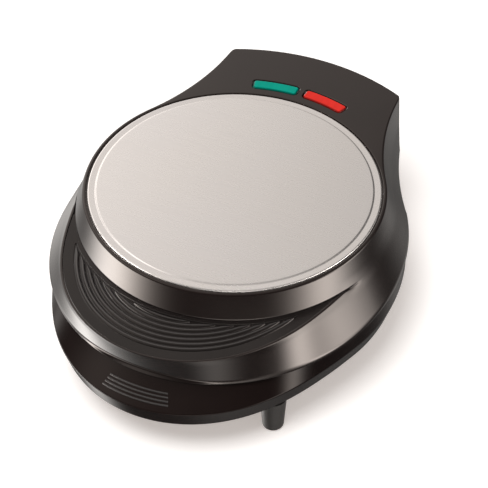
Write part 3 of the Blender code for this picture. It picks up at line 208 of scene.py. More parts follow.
# Feet and fasteners
FOOT_TOP_RADIUS = 8.35 * MM
FOOT_LOW_RADIUS = 6.8 * MM
FOOT_ROUND = 2.2 * MM
FOOT_COUNTERBORE = 4 * MM
FOOT_COUNTERBORE_DEPTH = 10.3 * MM
FOOT_CHAMFER = 0.3 * MM
SCREW_HEAD_RADIUS = 3 * MM
SCREW_HEAD = 2.2 * MM
SCREW_SIDE_SHARE = 0.4
SCREW_RADIUS = 1.5 * MM
CROSS_HALF_LENGTH = 1.7 * MM
CROSS_HALF_WIDTH = 0.35 * MM
CROSS_DEPTH = 1.2 * MM
PLATE_SCREW_ANGLES = tuple(radians(turn) for turn in (-135, -45, 45, 135))

# Roundings that the fine shells add to the parts' edges
TOP_EDGE = 1.3 * MM
CREST_EDGE = 0.6 * MM
SHELF_EDGE = 0.3 * MM
FLARE_EDGE = 1.4 * MM
LID_LOW_EDGE = 0.5 * MM
WAIST = 6 * MM
RIM_EDGE = 0.9 * MM
BASE_EDGE = 1.2 * MM
OPENING_EDGE = 0.5 * MM
CORNER_SHARE = 0.45
TINY = 0.01 * MM
SHARP_ANGLE = radians(40)

# Stations of the fine shells: from, to and step, in degrees from the front
STATION_RUNS = ((0, 120, 1.25), (120, 150, 1.5), (150, 160, 0.5), (160, 180, 2.5))
CORNER_MARK = radians(155)
WARP_FROM = radians(120)
HALVINGS = 40
JOIN_ROUNDS = 4
ROUND_SIDES = 48
DISC_SIDES = 240
ARC_STEPS = 8
QUARTER_STEPS = 6
MOUTH_STEPS = 4
PANEL_STEPS = 70
RIB_STEPS = 60
LIP_RIB_STEPS = 24

# Camera
CAMERA_PLACE = Vector((0.3923, -0.8282, 0.9183))
CAMERA_TARGET = Vector((0.027, -0.0413, 0.095))
CAMERA_LENS = 145.5
CAMERA_NEAR = 0.01

# Radii, outlines and heights that follow
PLATE_RADIUS = DISC_RADIUS + PLATE_MARGIN
CAVITY_RADIUS = PLATE_RADIUS - CAVITY_MARGIN
TOP_RADIUS = DISC_RADIUS + TOP_MARGIN
STEP_FOOT = TOP_RADIUS + BAND_SPREAD
STEP_FULL_WIDTH = STEP_LEDGE + 2 * SEAT_GAP + PANEL_TIP / 2
NECK_BACK = DISC_RADIUS + NECK_LENGTH
HINGE_Y = NECK_BACK - HINGE_INSET
BASE_BACK = HINGE_Y - HINGE_STANDOFF
OPENING_RADIUS = PLATE_RADIUS + PLATE_FIT
LEDGE_OUTER = OPENING_RADIUS + BASE_WALL
LEDGE_INNER = PLATE_RADIUS - LEDGE_INNER_MARGIN
PLATE_SCREW_RADIUS = PLATE_RADIUS - LEDGE_SCREW_MARGIN
HOLE_RADIUS = SCREW_RADIUS + SEAT_GAP
BASE_FRONT = PLATE_RADIUS + RIM_MARGIN + LIP_REACH
SEAT_RADIUS = DISC_RADIUS + DISC_SEAT_GAP
LUG_REACH = EAR_WIDTH / 2 + LUG_GAP + LUG_WIDTH
QUARTER = pi / 2
DIAGONAL = sin(radians(45))

FLOOR_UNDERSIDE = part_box("bottom_cover")[0].z
COVER_LEDGE_Z = FLOOR_UNDERSIDE + COVER_SHEET + SEAT_GAP
FLOOR_TOP = COVER_LEDGE_Z + FLOOR_WALL
LOWER_PLATE_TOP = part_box("lower_cooking_plate")[1].z
BASE_TOP_Z = LOWER_PLATE_TOP - PLATE_PROUD
RIM_Z = FLOOR_UNDERSIDE + RIM_HEIGHT
LID_BOTTOM_Z = BASE_TOP_Z + SEAM
FRAME_Z = LID_BOTTOM_Z + FRAME_RECESS
CREST_Z = LID_BOTTOM_Z + LOWER_BAND_HEIGHT
TOP_Z = CREST_Z + UPPER_BAND_HEIGHT
SEAT_Z = TOP_Z - DISC_SEAT_DEPTH
CEILING_Z = SEAT_Z - LID_WALL
HINGE_Z = BASE_TOP_Z + HINGE_RISE
HINGE_AXIS = Vector((HINGE_Y, HINGE_Z))
LEDGE_TOP_Z = LOWER_PLATE_TOP - PLATE_THICKNESS - SEAT_GAP
UPPER_PLATE_FACE = LOWER_PLATE_TOP + PLATE_GAP


def smooth_min(first, second, blend):
    near = max(blend - abs(first - second), 0) / blend
    return min(first, second) - near * near * blend / 4


def hump(angle, span):
    """1 at the front, falling smoothly to 0 at the span on either side."""
    return cos(min(abs(angle) / span, 1) * pi / 2) ** 2


def heading(angle):
    """Unit vector in plan at an angle from the front."""
    return Vector((sin(angle), -cos(angle)))


def fan(start, sweep, steps):
    """Evenly spaced angles from a start through a sweep, with both ends."""
    return [start + sweep * step / steps for step in range(steps + 1)]


def arc(centre, radius, start, sweep, steps):
    """Points on a circle at the angles of a fan."""
    return [centre + Vector((cos(turn), sin(turn))) * radius for turn in fan(start, sweep, steps)]


class Outline:
    """Plan of a moulding: a round body, two hollow neck sides and the back."""

    def __init__(self, front, shoulder, side, neck_half, hollow, back, flat_back=False):
        self.front, self.shoulder, self.side = front, shoulder, side
        self.neck_half, self.hollow = neck_half, hollow
        self.back, self.flat_back = back, flat_back
        self.mean = (DIAGONAL * (front + side) - shoulder) / (2 * DIAGONAL - 1)
        self.centre_x = neck_half + hollow
        join = side
        for _ in range(JOIN_ROUNDS):
            self.centre_y = sqrt((join + hollow) ** 2 - self.centre_x ** 2)
            self.start = pi - atan2(self.centre_x, self.centre_y)
            join = self.body_reach(self.start)
        self.corner, end = self.start, pi
        for _ in range(HALVINGS):
            middle = (self.corner + end) / 2
            if self.side_reach(middle) < self.back_reach(middle):
                self.corner = middle
            else:
                end = middle

    def inset(self, depth):
        return Outline(self.front - depth, self.shoulder - depth, self.side - depth,
                       self.neck_half - depth, self.hollow + depth, self.back - depth, self.flat_back)

    def with_flat_back(self, back):
        return Outline(self.front, self.shoulder, self.side, self.neck_half, self.hollow, back, True)

    def body_reach(self, angle):
        swell = self.front - 2 * self.mean + self.side
        return self.mean + swell * cos(angle) + (self.mean - self.side) * cos(2 * angle)

    def side_reach(self, angle):
        along = self.centre_x * sin(angle) - self.centre_y * cos(angle)
        rest = along ** 2 - (self.centre_x ** 2 + self.centre_y ** 2 - self.hollow ** 2)
        if rest > 0:
            reach = along - sqrt(rest)
            if -reach * cos(angle) < self.centre_y:
                return reach
        return self.neck_half / max(sin(angle), MM)

    def back_reach(self, angle):
        if self.flat_back:
            return self.back / max(-cos(angle), MM)
        return self.back

    def reach(self, angle):
        angle = abs(angle)
        if angle <= self.start:
            return self.body_reach(angle)
        return smooth_min(self.side_reach(angle), self.back_reach(angle), NECK_CORNER)

    def warped(self, angle):
        """Station angle moved so that the corner stations land on this outline's own corner."""
        size = abs(angle)
        for low, high, to_low, to_high in ((CORNER_MARK, pi, self.corner, pi),
                                           (WARP_FROM, CORNER_MARK, WARP_FROM, self.corner)):
            if size > low:
                return copysign(to_low + (size - low) / (high - low) * (to_high - to_low), angle)
        return angle

    def ring(self):
        turns = [self.warped(angle) for angle in STATIONS]
        return [heading(turn) * self.reach(turn) for turn in turns]


def station_angles():
    half = []
    for first, last, step in STATION_RUNS:
        half += [radians(first + step * count) for count in range(round((last - first) / step))]
    half.append(pi)
    return half + [-turn for turn in reversed(half[1:-1])]


STATIONS = station_angles()
LID_TOP = Outline(TOP_RADIUS, TOP_RADIUS, TOP_RADIUS, TOP_NECK_HALF, TOP_NECK_HOLLOW, NECK_BACK)
LID_LOW = Outline(PLATE_RADIUS + LID_FRONT_MARGIN, PLATE_RADIUS + LID_SHOULDER_MARGIN,
                  PLATE_RADIUS + LID_SIDE_MARGIN, NECK_HALF, NECK_HOLLOW, NECK_BACK)
BASE_TOP = LID_LOW.inset(LID_OVERHANG).with_flat_back(BASE_BACK)
BASE_MIDDLE = BASE_TOP.with_flat_back(BASE_BACK - BACK_RAKE)


def circle(radius):
    return [heading(angle) * radius for angle in STATIONS]


def each(value, points):
    """A value for each of some points, from one value or a list of them."""
    return value if isinstance(value, list) else [value] * len(points)


def pushed(points, amounts):
    """Plan points moved away from the disc axis, by one amount or by one each."""
    return [point + point.normalized() * amount for point, amount in zip(points, each(amounts, points))]


def mixed(first, second, shares):
    """Plan points between two lists, at one share or at one each."""
    return [one + (two - one) * share for one, two, share in zip(first, second, each(shares, first))]


def lifted(point, height):
    return Vector((point.x, point.y, height))


def raised(points, heights):
    """Points in space from plan points and one height or one each."""
    return [lifted(point, height) for point, height in zip(points, each(heights, points))]


def soft_corner(before, corner, after, size, share):
    """Point at a share of the way round a rounded corner."""
    back = before - corner
    on = after - corner
    start = corner + back * min(CORNER_SHARE, size / max(back.length, TINY))
    end = corner + on * min(CORNER_SHARE, size / max(on.length, TINY))
    return start * (1 - share) ** 2 + corner * (2 * share * (1 - share)) + end * share ** 2


def rounded(rings, sizes, looped=False, steps=3):
    """The same rings with each corner between them rounded by its own size."""
    result = []
    for here, (ring, size) in enumerate(zip(rings, sizes)):
        if size == 0 or (not looped and here in (0, len(rings) - 1)):
            result.append(ring)
            continue
        corners = list(zip(rings[here - 1], ring, rings[(here + 1) % len(rings)]))
        result += [[soft_corner(*corner, size, step / steps) for corner in corners]
                   for step in range(steps + 1)]
    return result


def soft_profile(points, size, steps=3):
    """Turned profile with its corners rounded; corners on the axis stay."""
    sizes = [size if point[0] else 0 for point in points]
    return [ring[0] for ring in rounded([[Vector(point)] for point in points], sizes, steps=steps)]


def loft_mesh(rings, looped=False):
    """Skin over rings of equal length or single points, closed by end faces or, looped, by itself."""
    shape = bmesh.new()
    rows = [[shape.verts.new(point) for point in ring] for ring in rings]
    following = rows[1:] + rows[:1] if looped else rows[1:]
    for row, after in zip(rows, following):
        count = max(len(row), len(after))
        for here in range(count):
            beside = (here + 1) % count
            if len(row) == 1:
                shape.faces.new((row[0], after[beside], after[here]))
            elif len(after) == 1:
                shape.faces.new((row[here], row[beside], after[0]))
            else:
                shape.faces.new((row[here], row[beside], after[beside], after[here]))
    for row in () if looped else (rows[0], rows[-1]):
        if len(row) > 1:
            shape.faces.new(row)
    return shape


def shell(levels, looped=False):
    """Skin through plans at their heights; a third value of a level is the rounding of its corner."""
    rings = [raised(plan, height) for plan, height, *_ in levels]
    sizes = [size[0] if size else 0 for _, _, *size in levels]
    return loft_mesh(rounded(rings, sizes, looped), looped)


def turned_mesh(profile, sides, centre=(0, 0), looped=False):
    """Solid turned about a vertical axis; a radius of 0 closes the profile on the axis."""
    turns = [2 * pi * side / sides for side in range(sides)]
    return loft_mesh([[(centre[0] + radius * cos(turn), centre[1] + radius * sin(turn), height)
                       for turn in (turns if radius else turns[:1])] for radius, height in profile], looped)


def cross_mesh(profile, left, right):
    """Solid with a profile in the YZ plane, reaching from left to right along X."""
    return loft_mesh([[Vector((x, point.x, point.y)) for point in profile] for x in (left, right)])


def merged(shapes):
    """Several separate bodies in one mesh."""
    whole = bmesh.new()
    for shape in shapes:
        part = bpy.data.meshes.new("part")
        shape.to_mesh(part)
        shape.free()
        whole.from_mesh(part)
        bpy.data.meshes.remove(part)
    return whole


def lying(shape):
    """Turned shape laid along X, with its axis on the hinge's."""
    for point in shape.verts:
        x, y, z = point.co
        point.co = Vector((z, HINGE_Y + y, HINGE_Z - x))
    return shape


def mirrored(points, side):
    return [Vector((point.x * side, point.y)) for point in points]


def placed(name, data):
    """New object in the scene."""
    thing = bpy.data.objects.new(name, data)
    bpy.context.scene.collection.objects.link(thing)
    return thing


def moulded(name, shape):
    """Object from a shape drawn about the disc's axis, its mesh in the frame's own place."""
    bmesh.ops.recalc_face_normals(shape, faces=shape.faces[:])
    bmesh.ops.translate(shape, verts=shape.verts[:], vec=Vector((0, DISC_Y, 0)))
    mesh = bpy.data.meshes.new(name)
    shape.to_mesh(mesh)
    shape.free()
    return placed(name, mesh)


def carve(thing, shape, operation="DIFFERENCE"):
    """Cuts a shape from a piece, or joins it on, and keeps the result as the piece's mesh."""
    tool = moulded("tool", shape)
    boolean = thing.modifiers.new("carve", "BOOLEAN")
    boolean.operation = operation
    boolean.solver = "EXACT"
    boolean.object = tool
    graph = bpy.context.evaluated_depsgraph_get()
    spent = (thing.data, tool.data)
    mesh = bpy.data.meshes.new_from_object(thing.evaluated_get(graph))
    thing.modifiers.clear()
    thing.data = mesh
    bpy.data.objects.remove(tool)
    for mesh in spent:
        bpy.data.meshes.remove(mesh)


def finish_piece(thing, body, slot, *nodes, finish=None, sharp=SHARP_ANGLE):
    """Shades a piece, gives it its slot's finish or another, and puts it in the place of its nodes."""
    thing.data.materials.clear()
    thing.data.materials.append(MATERIALS[finish or slot])
    thing.data.shade_smooth()
    thing.data.set_sharp_from_angle(angle=sharp)
    level = thing.modifiers.new("face_weighted_shading", "WEIGHTED_NORMAL")
    level.keep_sharp = True
    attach(thing, body)
    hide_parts(*nodes)


def paint_crest_highlights(thing, test):
    """Gives the faces whose middle passes a test a lighter black, a painted highlight on rib crests."""
    thing.data.materials.append(MATERIALS["rib_black"])
    for face in thing.data.polygons:
        face.material_index = 1 if test(face.center) else 0


class Graph:
    """Short notation for the nodes of one material or world."""

    def __init__(self, tree):
        self.tree = tree

    def feed(self, node, *values, **named):
        """Links or sets a node's inputs in their order or by name, where an underscore stands for a space."""
        sockets = [*node.inputs][:len(values)] + [node.inputs[name.replace("_", " ")] for name in named]
        for socket, value in zip(sockets, (*values, *named.values())):
            if isinstance(value, bpy.types.NodeSocket):
                self.tree.links.new(value, socket)
            else:
                socket.default_value = value
        return node

    def add(self, kind, *values, settings=(), **named):
        node = self.tree.nodes.new(kind)
        for name, value in dict(settings).items():
            setattr(node, name, value)
        return self.feed(node, *values, **named)

    def math(self, operation, *values):
        return self.add("ShaderNodeMath", *values, settings={"operation": operation}).outputs[0]

    def measure(self, operation, *vectors):
        return self.add("ShaderNodeVectorMath", *vectors, settings={"operation": operation}).outputs["Value"]

    def mix(self, share, first, second, kind="RGBA", blend="MIX"):
        settings = {"data_type": kind, "blend_type": blend}
        return self.add("ShaderNodeMix", settings=settings, Factor=share, A=first, B=second).outputs["Result"]

    def shade(self, share, colour, low, high):
        """A colour times two factors, mixed by a share."""
        return self.mix(share, tinted(colour, low), tinted(colour, high))

    def spread(self, *values):
        """Value carried from one range to another, and kept inside it."""
        return self.add("ShaderNodeMapRange", *values).outputs[0]

    def uneven(self, field, value, low, high):
        """A value times two factors, between which a noise field chooses."""
        return self.spread(field, *NOISE_RANGE, value * low, value * high)

    def noise(self, place, scale, detail=2, roughness=0.5):
        node = self.add("ShaderNodeTexNoise", Vector=place, Scale=scale, Detail=detail, Roughness=roughness)
        return node.outputs["Fac"]

    def bump(self, height, distance, strength):
        return self.add("ShaderNodeBump", Height=height, Distance=distance, Strength=strength).outputs["Normal"]

    def place(self, scale=(1, 1, 1)):
        """Place on the object in metres, stretched by a scale."""
        place = self.add("ShaderNodeTexCoord").outputs["Object"]
        return self.add("ShaderNodeMapping", Vector=place, Scale=scale).outputs["Vector"]


def tinted(colour, factor=1):
    return (*(channel * factor for channel in colour), 1)


def finish_material(name, colour, roughness, metallic=0, sockets=()):
    """Principled material with its plain values set on the shader itself."""
    material = bpy.data.materials.new(name)
    material.use_nodes = True
    material.diffuse_color = tinted(colour)
    graph = Graph(material.node_tree)
    shader = graph.feed(material.node_tree.nodes["Principled BSDF"], Base_Color=tinted(colour),
                        Roughness=roughness, Metallic=metallic, **dict(sockets))
    return material, graph, shader


def plastic(name, colour, roughness, grain, depth, sockets=()):
    """Moulded plastic: faint cloudiness, uneven gloss and a fine grain of its own size."""
    material, graph, shader = finish_material(name, colour, roughness, sockets=sockets)
    place = graph.place()
    graph.feed(shader, Base_Color=graph.shade(graph.noise(place, 35, 3), colour, 0.8, 1.2),
               Roughness=graph.uneven(graph.noise(place, 60, 4, 0.6), roughness, 0.9, 1.12),
               Normal=graph.bump(graph.noise(place, grain, 2), depth, 0.5))
    return material


def brushed_metal(name, colour, roughness, lilac, beige):
    """Sheet brushed along X: fine drawn lines in colour, gloss and surface, and a soft warm cloud."""
    material, graph, shader = finish_material(name, colour, roughness, 0.94)
    lines = graph.noise(graph.place((14, 1600, 200)), 1, 4, 0.7)
    streaks = graph.noise(graph.place((60, 420, 60)), 1, 2)
    warm = graph.mix(graph.noise(graph.place(), 9, 2), tinted(lilac), tinted(beige))
    drawn = graph.shade(graph.spread(lines, *NOISE_RANGE, 0, 1), WHITE, 0.98, 1.02)
    graph.feed(shader, Base_Color=graph.mix(1, warm, drawn, blend="MULTIPLY"),
               Roughness=graph.uneven(streaks, roughness, 0.9, 1.1), Normal=graph.bump(lines, 0.02 * MM, 0.1))
    return material


def worn_metal(name, colour, roughness):
    """Plain or heat-stained metal with blotches and small scratches."""
    material, graph, shader = finish_material(name, colour, roughness, 1)
    scratch = graph.noise(graph.place((400, 40, 400)), 1, 3)
    graph.feed(shader, Base_Color=graph.shade(graph.noise(graph.place(), 90, 4, 0.6), colour, 0.75, 1.2),
               Roughness=graph.uneven(scratch, roughness, 0.8, 1.25))
    return material


def coated_plate(name, colour, roughness):
    """Non-stick coating on a casting: speckled and very slightly pebbled."""
    material, graph, shader = finish_material(name, colour, roughness)
    place = graph.place()
    fleck = graph.add("ShaderNodeTexVoronoi", Vector=place, Scale=900).outputs["Distance"]
    graph.feed(shader, Base_Color=graph.shade(graph.spread(fleck, 0.05, 0.22, 1, 0), colour, 1, 2.6),
               Normal=graph.bump(graph.noise(place, 700, 3), 0.05 * MM, 0.6))
    return material


def lens_plastic(name, colour, roughness, sockets):
    """Tinted clear plastic over a pale diffuser, polished; painted shade darkens it where its edge turns down.
    """
    material, graph, shader = finish_material(name, colour, roughness, sockets=sockets)
    middle = graph.shade(graph.noise(graph.place((500, 120, 120)), 1, 1), colour, 0.9, 1.1)
    # Painted shade: the colour falls to 0.3 of the lens colour where the surface turns away from facing up
    facing = graph.add("ShaderNodeTexCoord").outputs["Normal"]
    level = graph.add("ShaderNodeSeparateXYZ", facing).outputs["Z"]
    share = graph.spread(level, 0.6, 0.97, 0, 1)
    graph.feed(shader, Base_Color=graph.mix(share, tinted(colour, 0.3), middle))
    return material


WHITE = (1, 1, 1)
NOISE_RANGE = (0.3, 0.7)
WARM = (1, 0.90, 0.84, 1)
WARM_GLOSS = {"Specular Tint": WARM}
DULL_GLOSS = {"Specular IOR Level": 0.3, "Specular Tint": WARM}
CALM_GLOSS = {"Specular IOR Level": 0.13, "Specular Tint": WARM}
LENS_GLOSS = {"Specular IOR Level": 0.06}
FINE_GRAIN = (900, 0.01 * MM)

# Finishes: maker, colour, roughness and what else the maker takes
FINISHES = {
    "gloss_black": (plastic, (0.0095, 0.0058, 0.0052), 0.13, *FINE_GRAIN, WARM_GLOSS),
    "base_black": (plastic, (0.0095, 0.0058, 0.0052), 0.13, *FINE_GRAIN, CALM_GLOSS),
    # Lighter black for rib crests: a painted highlight, not a colour of the plastic itself
    "rib_black": (plastic, (0.036, 0.033, 0.032), 0.2, *FINE_GRAIN, WARM_GLOSS),
    "matt_black": (plastic, (0.010, 0.008, 0.0075), 0.22, 1600, 0.02 * MM, DULL_GLOSS),
    "brushed_steel": (brushed_metal, (0.70, 0.645, 0.61), 0.28, (0.74, 0.705, 0.7), (0.74, 0.695, 0.655)),
    "plain_steel": (worn_metal, (0.55, 0.55, 0.56), 0.33),
    "heating_steel": (worn_metal, (0.22, 0.20, 0.19), 0.45),
    "coated_plate": (coated_plate, (0.030, 0.028, 0.028), 0.42),
    "green_lens": (lens_plastic, (0, 0.27, 0.195), 0.15, LENS_GLOSS),
    "red_lens": (lens_plastic, (0.64, 0.028, 0.02), 0.15, LENS_GLOSS),
    "lamp_glass": (plastic, (0.80, 0.62, 0.45), 0.12, 400, 0.01 * MM),
    "white_plastic": (plastic, (0.78, 0.77, 0.72), 0.5, 1200, 0.02 * MM),
    "foot_rubber": (plastic, (0.016, 0.013, 0.011), 0.5, 1400, 0.05 * MM),
}
MATERIALS = {name: maker(name, *values) for name, (maker, *values) in FINISHES.items()}


def finish_nodes():
    """Gives every carried-over part the finish of its slot in the record."""
    for part in frame["record"]["subparts"]:
        mesh = frame["nodes"][part["node"]].data
        mesh.materials.clear()
        mesh.materials.append(MATERIALS[part["material_slot"]])


def band_foot(top_ring, low_ring):
    """Plan of the upper band's foot: the top outline spread towards the lower one."""
    foot = []
    for top, low in zip(top_ring, low_ring):
        spread = low - top
        share = min(1, spread.length / BAND_FULL)
        foot.append(top + spread.normalized() * BAND_SPREAD * share)
    return foot


def step_width(angle):
    """Width of the crescent step at an angle from the front."""
    return STEP_WIDTH * hump(angle, STEP_SPAN)


def lid_levels():
    """Levels of the lid's shell, from the disc's seat over the outside to the ceiling."""
    top = LID_TOP.ring()
    low = LID_LOW.ring()
    foot = band_foot(top, low)
    widths = [step_width(angle) for angle in STATIONS]
    full = [min(1, width / STEP_FADE) for width in widths]
    flat = [1 - share for share in full]
    crest = pushed(foot, widths)
    ledge = pushed(crest, [-STEP_LEDGE * min(1, width / STEP_FULL_WIDTH) for width in widths])
    flare_z = LID_BOTTOM_Z + LID_FLARE_HEIGHT
    flare = pushed(low, [-LID_DRAFT - LID_FLARE * hump(angle, LID_FLARE_SPAN) for angle in STATIONS])
    band_slope = [(one - two).length / UPPER_BAND_HEIGHT for one, two in zip(foot, top)]
    wall_slope = [(one - two).length / (CREST_Z - flare_z) for one, two in zip(flare, crest)]
    bend = [(wall - band) * share for wall, band, share in zip(wall_slope, band_slope, flat)]

    def eased(points, drop):
        """Moves a ring out so that the two bands run into each other without an edge beyond the step."""
        amount = max(WAIST - abs(drop), 0) ** 2 / (4 * WAIST)
        return pushed(points, [amount * turn for turn in bend])

    def wall(drop, start):
        return eased(mixed(start, flare, drop / (CREST_Z - flare_z)), drop)

    def band(rise):
        return eased(mixed(foot, top, rise / UPPER_BAND_HEIGHT), rise)

    def in_step(plan, height, order, size):
        """Level of the step, which beyond its ends lies in the wall below the crest."""
        drop = STEP_SHADOW * order
        heights = [CREST_Z - drop + (height - CREST_Z + drop) * share for share in full]
        return mixed(wall(drop, foot), plan, full), heights, size

    shelf_z = CREST_Z - STEP_DEPTH
    under_z = shelf_z - LID_WALL
    under_wall = pushed(wall(CREST_Z - under_z + STEP_SHADOW, foot), -LID_WALL)
    under_heights = [under_z - STEP_SHADOW * share for share in flat]
    edge = LID_LOW.inset(LID_EDGE).ring()
    return (
        (circle(SEAT_RADIUS), SEAT_Z),
        (circle(SEAT_RADIUS), TOP_Z - SEAT_CHAMFER, SEAT_CHAMFER / 2),
        (circle(SEAT_RADIUS + SEAT_CHAMFER), TOP_Z, SEAT_CHAMFER / 2),
        (top, TOP_Z, TOP_EDGE),
        (band(WAIST), CREST_Z + WAIST),
        (band(WAIST / 2), CREST_Z + WAIST / 2),
        (eased(foot, 0), CREST_Z, SHELF_EDGE),
        in_step(foot, shelf_z, 1, SHELF_EDGE),
        in_step(ledge, shelf_z, 2, SHELF_EDGE),
        in_step(ledge, CREST_Z, 3, SHELF_EDGE),
        in_step(crest, CREST_Z, 4, CREST_EDGE),
        (wall(WAIST / 2, crest), CREST_Z - WAIST / 2),
        (wall(WAIST, crest), CREST_Z - WAIST),
        (flare, flare_z, FLARE_EDGE),
        (low, LID_BOTTOM_Z, LID_LOW_EDGE),
        (edge, LID_BOTTOM_Z, LID_LOW_EDGE),
        (edge, FRAME_Z + FRAME_WALL + SEAT_GAP),
        (mixed(under_wall, pushed(crest, -LID_WALL), full), under_heights),
        (pushed(foot, -LID_WALL), under_z),
        (LID_TOP.inset(LID_WALL).ring(), CEILING_Z),
    )


def lens_outline(grow):
    """Plan of one lamp lens on the +X side, with rounded corners."""
    inner = DISC_RADIUS + LENS_MARGIN - grow
    outer = DISC_RADIUS + LENS_MARGIN + LENS_WIDTH + grow
    corner = LENS_CORNER + grow
    first = pi - LENS_LAST - grow / outer
    last = pi - LENS_FIRST + grow / outer
    bends = fan(0, QUARTER, ARC_STEPS)[:-1]
    points = []
    for reach, inward, start, end in ((outer, -1, first, last), (inner, 1, last, first)):
        turn = copysign(corner / reach, end - start)
        places = [(start + turn * (1 - cos(bend)), corner * (1 - sin(bend))) for bend in bends]
        places += [(along, 0) for along in fan(start + turn, end - start - 2 * turn, 3 * ARC_STEPS)]
        places += [(end - turn * (1 - sin(bend)), corner * (1 - cos(bend))) for bend in bends[1:]]
        points += [heading(along) * (reach + inward * rise) for along, rise in places]
    return points


def lug_profile(top):
    """Side view of a lid lug: round about the hinge axis, straight up to the ceiling."""
    points = arc(HINGE_AXIS, EAR_RADIUS, pi, pi, 2 * ARC_STEPS)
    return points + [Vector((HINGE_Y + EAR_RADIUS, top)), Vector((HINGE_Y - EAR_RADIUS, top))]


def ear_profile():
    """Side view of a base ear: from the rear wall out to a round end about the hinge axis."""
    root = BASE_BACK - BASE_WALL / 2
    points = [Vector((root, HINGE_Z - EAR_DROP)), Vector((HINGE_Y - HINGE_STANDOFF, HINGE_Z - EAR_DROP))]
    points += arc(HINGE_AXIS, EAR_RADIUS, -QUARTER, pi, 2 * ARC_STEPS)
    points.append(HINGE_AXIS + Vector((-EAR_RADIUS, EAR_RADIUS)) * DIAGONAL)
    return points + [Vector((root, BASE_TOP_Z - SEAT_GAP))]


def pin_bore():
    radius = PIN_RADIUS + PIN_GAP
    reach = EAR_HALF_SPACING + LUG_REACH + OVERRUN
    return lying(turned_mesh(((radius, -reach), (radius, reach)), ROUND_SIDES))


def make_lid():
    lid = moulded("lid_moulding", shell(lid_levels()))
    profile = lug_profile((CEILING_Z + TOP_Z) / 2)
    lugs = []
    windows = []
    for side in (-1, 1):
        for reach in (-1, 1):
            near = EAR_HALF_SPACING + reach * (EAR_WIDTH / 2 + LUG_GAP)
            left, right = sorted((side * near, side * (near + reach * LUG_WIDTH)))
            lugs.append(cross_mesh(profile, left, right))
        straight = mirrored(lens_outline(SEAT_GAP), side)
        flared = mirrored(lens_outline(SEAT_GAP + SEAT_CHAMFER), side)
        windows.append(shell(((straight, CEILING_Z - OVERRUN), (straight, TOP_Z - SEAT_CHAMFER),
                              (flared, TOP_Z), (flared, TOP_Z + OVERRUN))))
    carve(lid, merged(lugs), "UNION")
    carve(lid, pin_bore())
    carve(lid, merged(windows))
    finish_piece(lid, "lid", "gloss_black", "lid_cover")
    lid.visible_glossy = False


def step_end(width):
    """Angle at which the crescent step has narrowed to a width."""
    return STEP_SPAN * acos(sqrt(width / STEP_WIDTH)) / (pi / 2)


def swing(end, steps):
    """Angles from one end over the front to the other, closer together towards the ends."""
    return [end * sin(QUARTER * step / steps) for step in range(-steps, steps + 1)]


def panel_outline(outer_margin, inner_margin):
    """Crescent inside given margins from the step's outer and inner edges, ended at the tip's width."""
    turns = swing(step_end(outer_margin + inner_margin + PANEL_TIP), PANEL_STEPS)
    outer = [heading(turn) * (STEP_FOOT + step_width(turn) - outer_margin) for turn in turns]
    return outer + [heading(turn) * (STEP_FOOT + inner_margin) for turn in reversed(turns)]


RIB_SECTION_SHARES = ((0, -1), (0, 0.05), (0.08, 0.4), (0.2, 0.72), (0.35, 0.93), (0.5, 1), (0.65, 0.93),
                      (0.8, 0.72), (0.92, 0.4), (1, 0.05), (1, -1))


def rib_mesh(offset, inner_margin, floor):
    """Rib at a constant offset from the step's outer edge, cut off slanting by the inner margin."""
    rings = []
    for turn in swing(step_end(offset + inner_margin + RIB_TIP), RIB_STEPS):
        outer = STEP_FOOT + step_width(turn) - offset
        inner = max(outer - RIB_WIDTH, STEP_FOOT + inner_margin)
        rings.append([lifted(heading(turn) * (outer + (inner - outer) * across), floor + RIB_RISE * up)
                      for across, up in RIB_SECTION_SHARES])
    return loft_mesh(rings)


def make_grip_insert():
    low = CREST_Z - STEP_DEPTH + SEAT_GAP
    floor = low + PANEL_SHEET
    edge = STEP_LEDGE + SEAT_GAP
    rim = panel_outline(edge, SEAT_GAP)
    pocket_outer = edge + PANEL_OUTER_MARGIN
    pocket_inner = SEAT_GAP + PANEL_INNER_MARGIN
    pocket = panel_outline(pocket_outer, pocket_inner)
    top = floor + PANEL_RISE
    insert = moulded("grip_panel", shell(((rim, low), (rim, top, SHELF_EDGE), (pocket, top, SHELF_EDGE),
                                          (pocket, floor))))
    groove = RIB_PITCH - RIB_WIDTH
    ribs = [rib_mesh(pocket_outer + groove + rib * RIB_PITCH, pocket_inner + groove, floor)
            for rib in range(PANEL_RIBS)]
    carve(insert, merged(ribs), "UNION")
    finish_piece(insert, "lid", "matt_black", "grip_insert")
    # The crests of the panel ribs get the painted highlight
    paint_crest_highlights(insert, lambda place: place.z > floor + RIB_CREST_SHARE * RIB_RISE)
    insert.visible_glossy = False


def make_disc():
    ring_inner = DISC_RADIUS - DISC_RING_WIDTH
    step_inner = ring_inner - DISC_STEP_WIDTH
    low = SEAT_Z + SEAT_GAP
    under_ring = low + DISC_RING_LIFT
    ring_z = under_ring + DISC_SHEET
    top = ring_z + DISC_STEP + DISC_RING_RISE
    dome = [(step_inner * share, top + DISC_DOME * (1 - share ** 2)) for share in DISC_DOME_SHARES]
    under = [(radius, height - DISC_SHEET) for radius, height in dome]
    edge = [(step_inner, top), (ring_inner, ring_z), (DISC_RADIUS - DISC_EDGE_ROLL, ring_z + DISC_RING_RISE),
            (DISC_RADIUS, ring_z - DISC_EDGE_ROLL / 2), (DISC_RADIUS, low), (DISC_RADIUS - DISC_SHEET, low),
            (ring_inner - DISC_SHEET / 2, under_ring), (step_inner - DISC_SHEET / 2, top - DISC_SHEET)]
    profile = soft_profile(dome + edge + under[::-1], DISC_STEP_WIDTH / 3, steps=4)
    disc = moulded("brushed_disc", turned_mesh(profile, DISC_SIDES))
    finish_piece(disc, "lid", "brushed_steel", "steel_disc", sharp=DISC_SHARP)


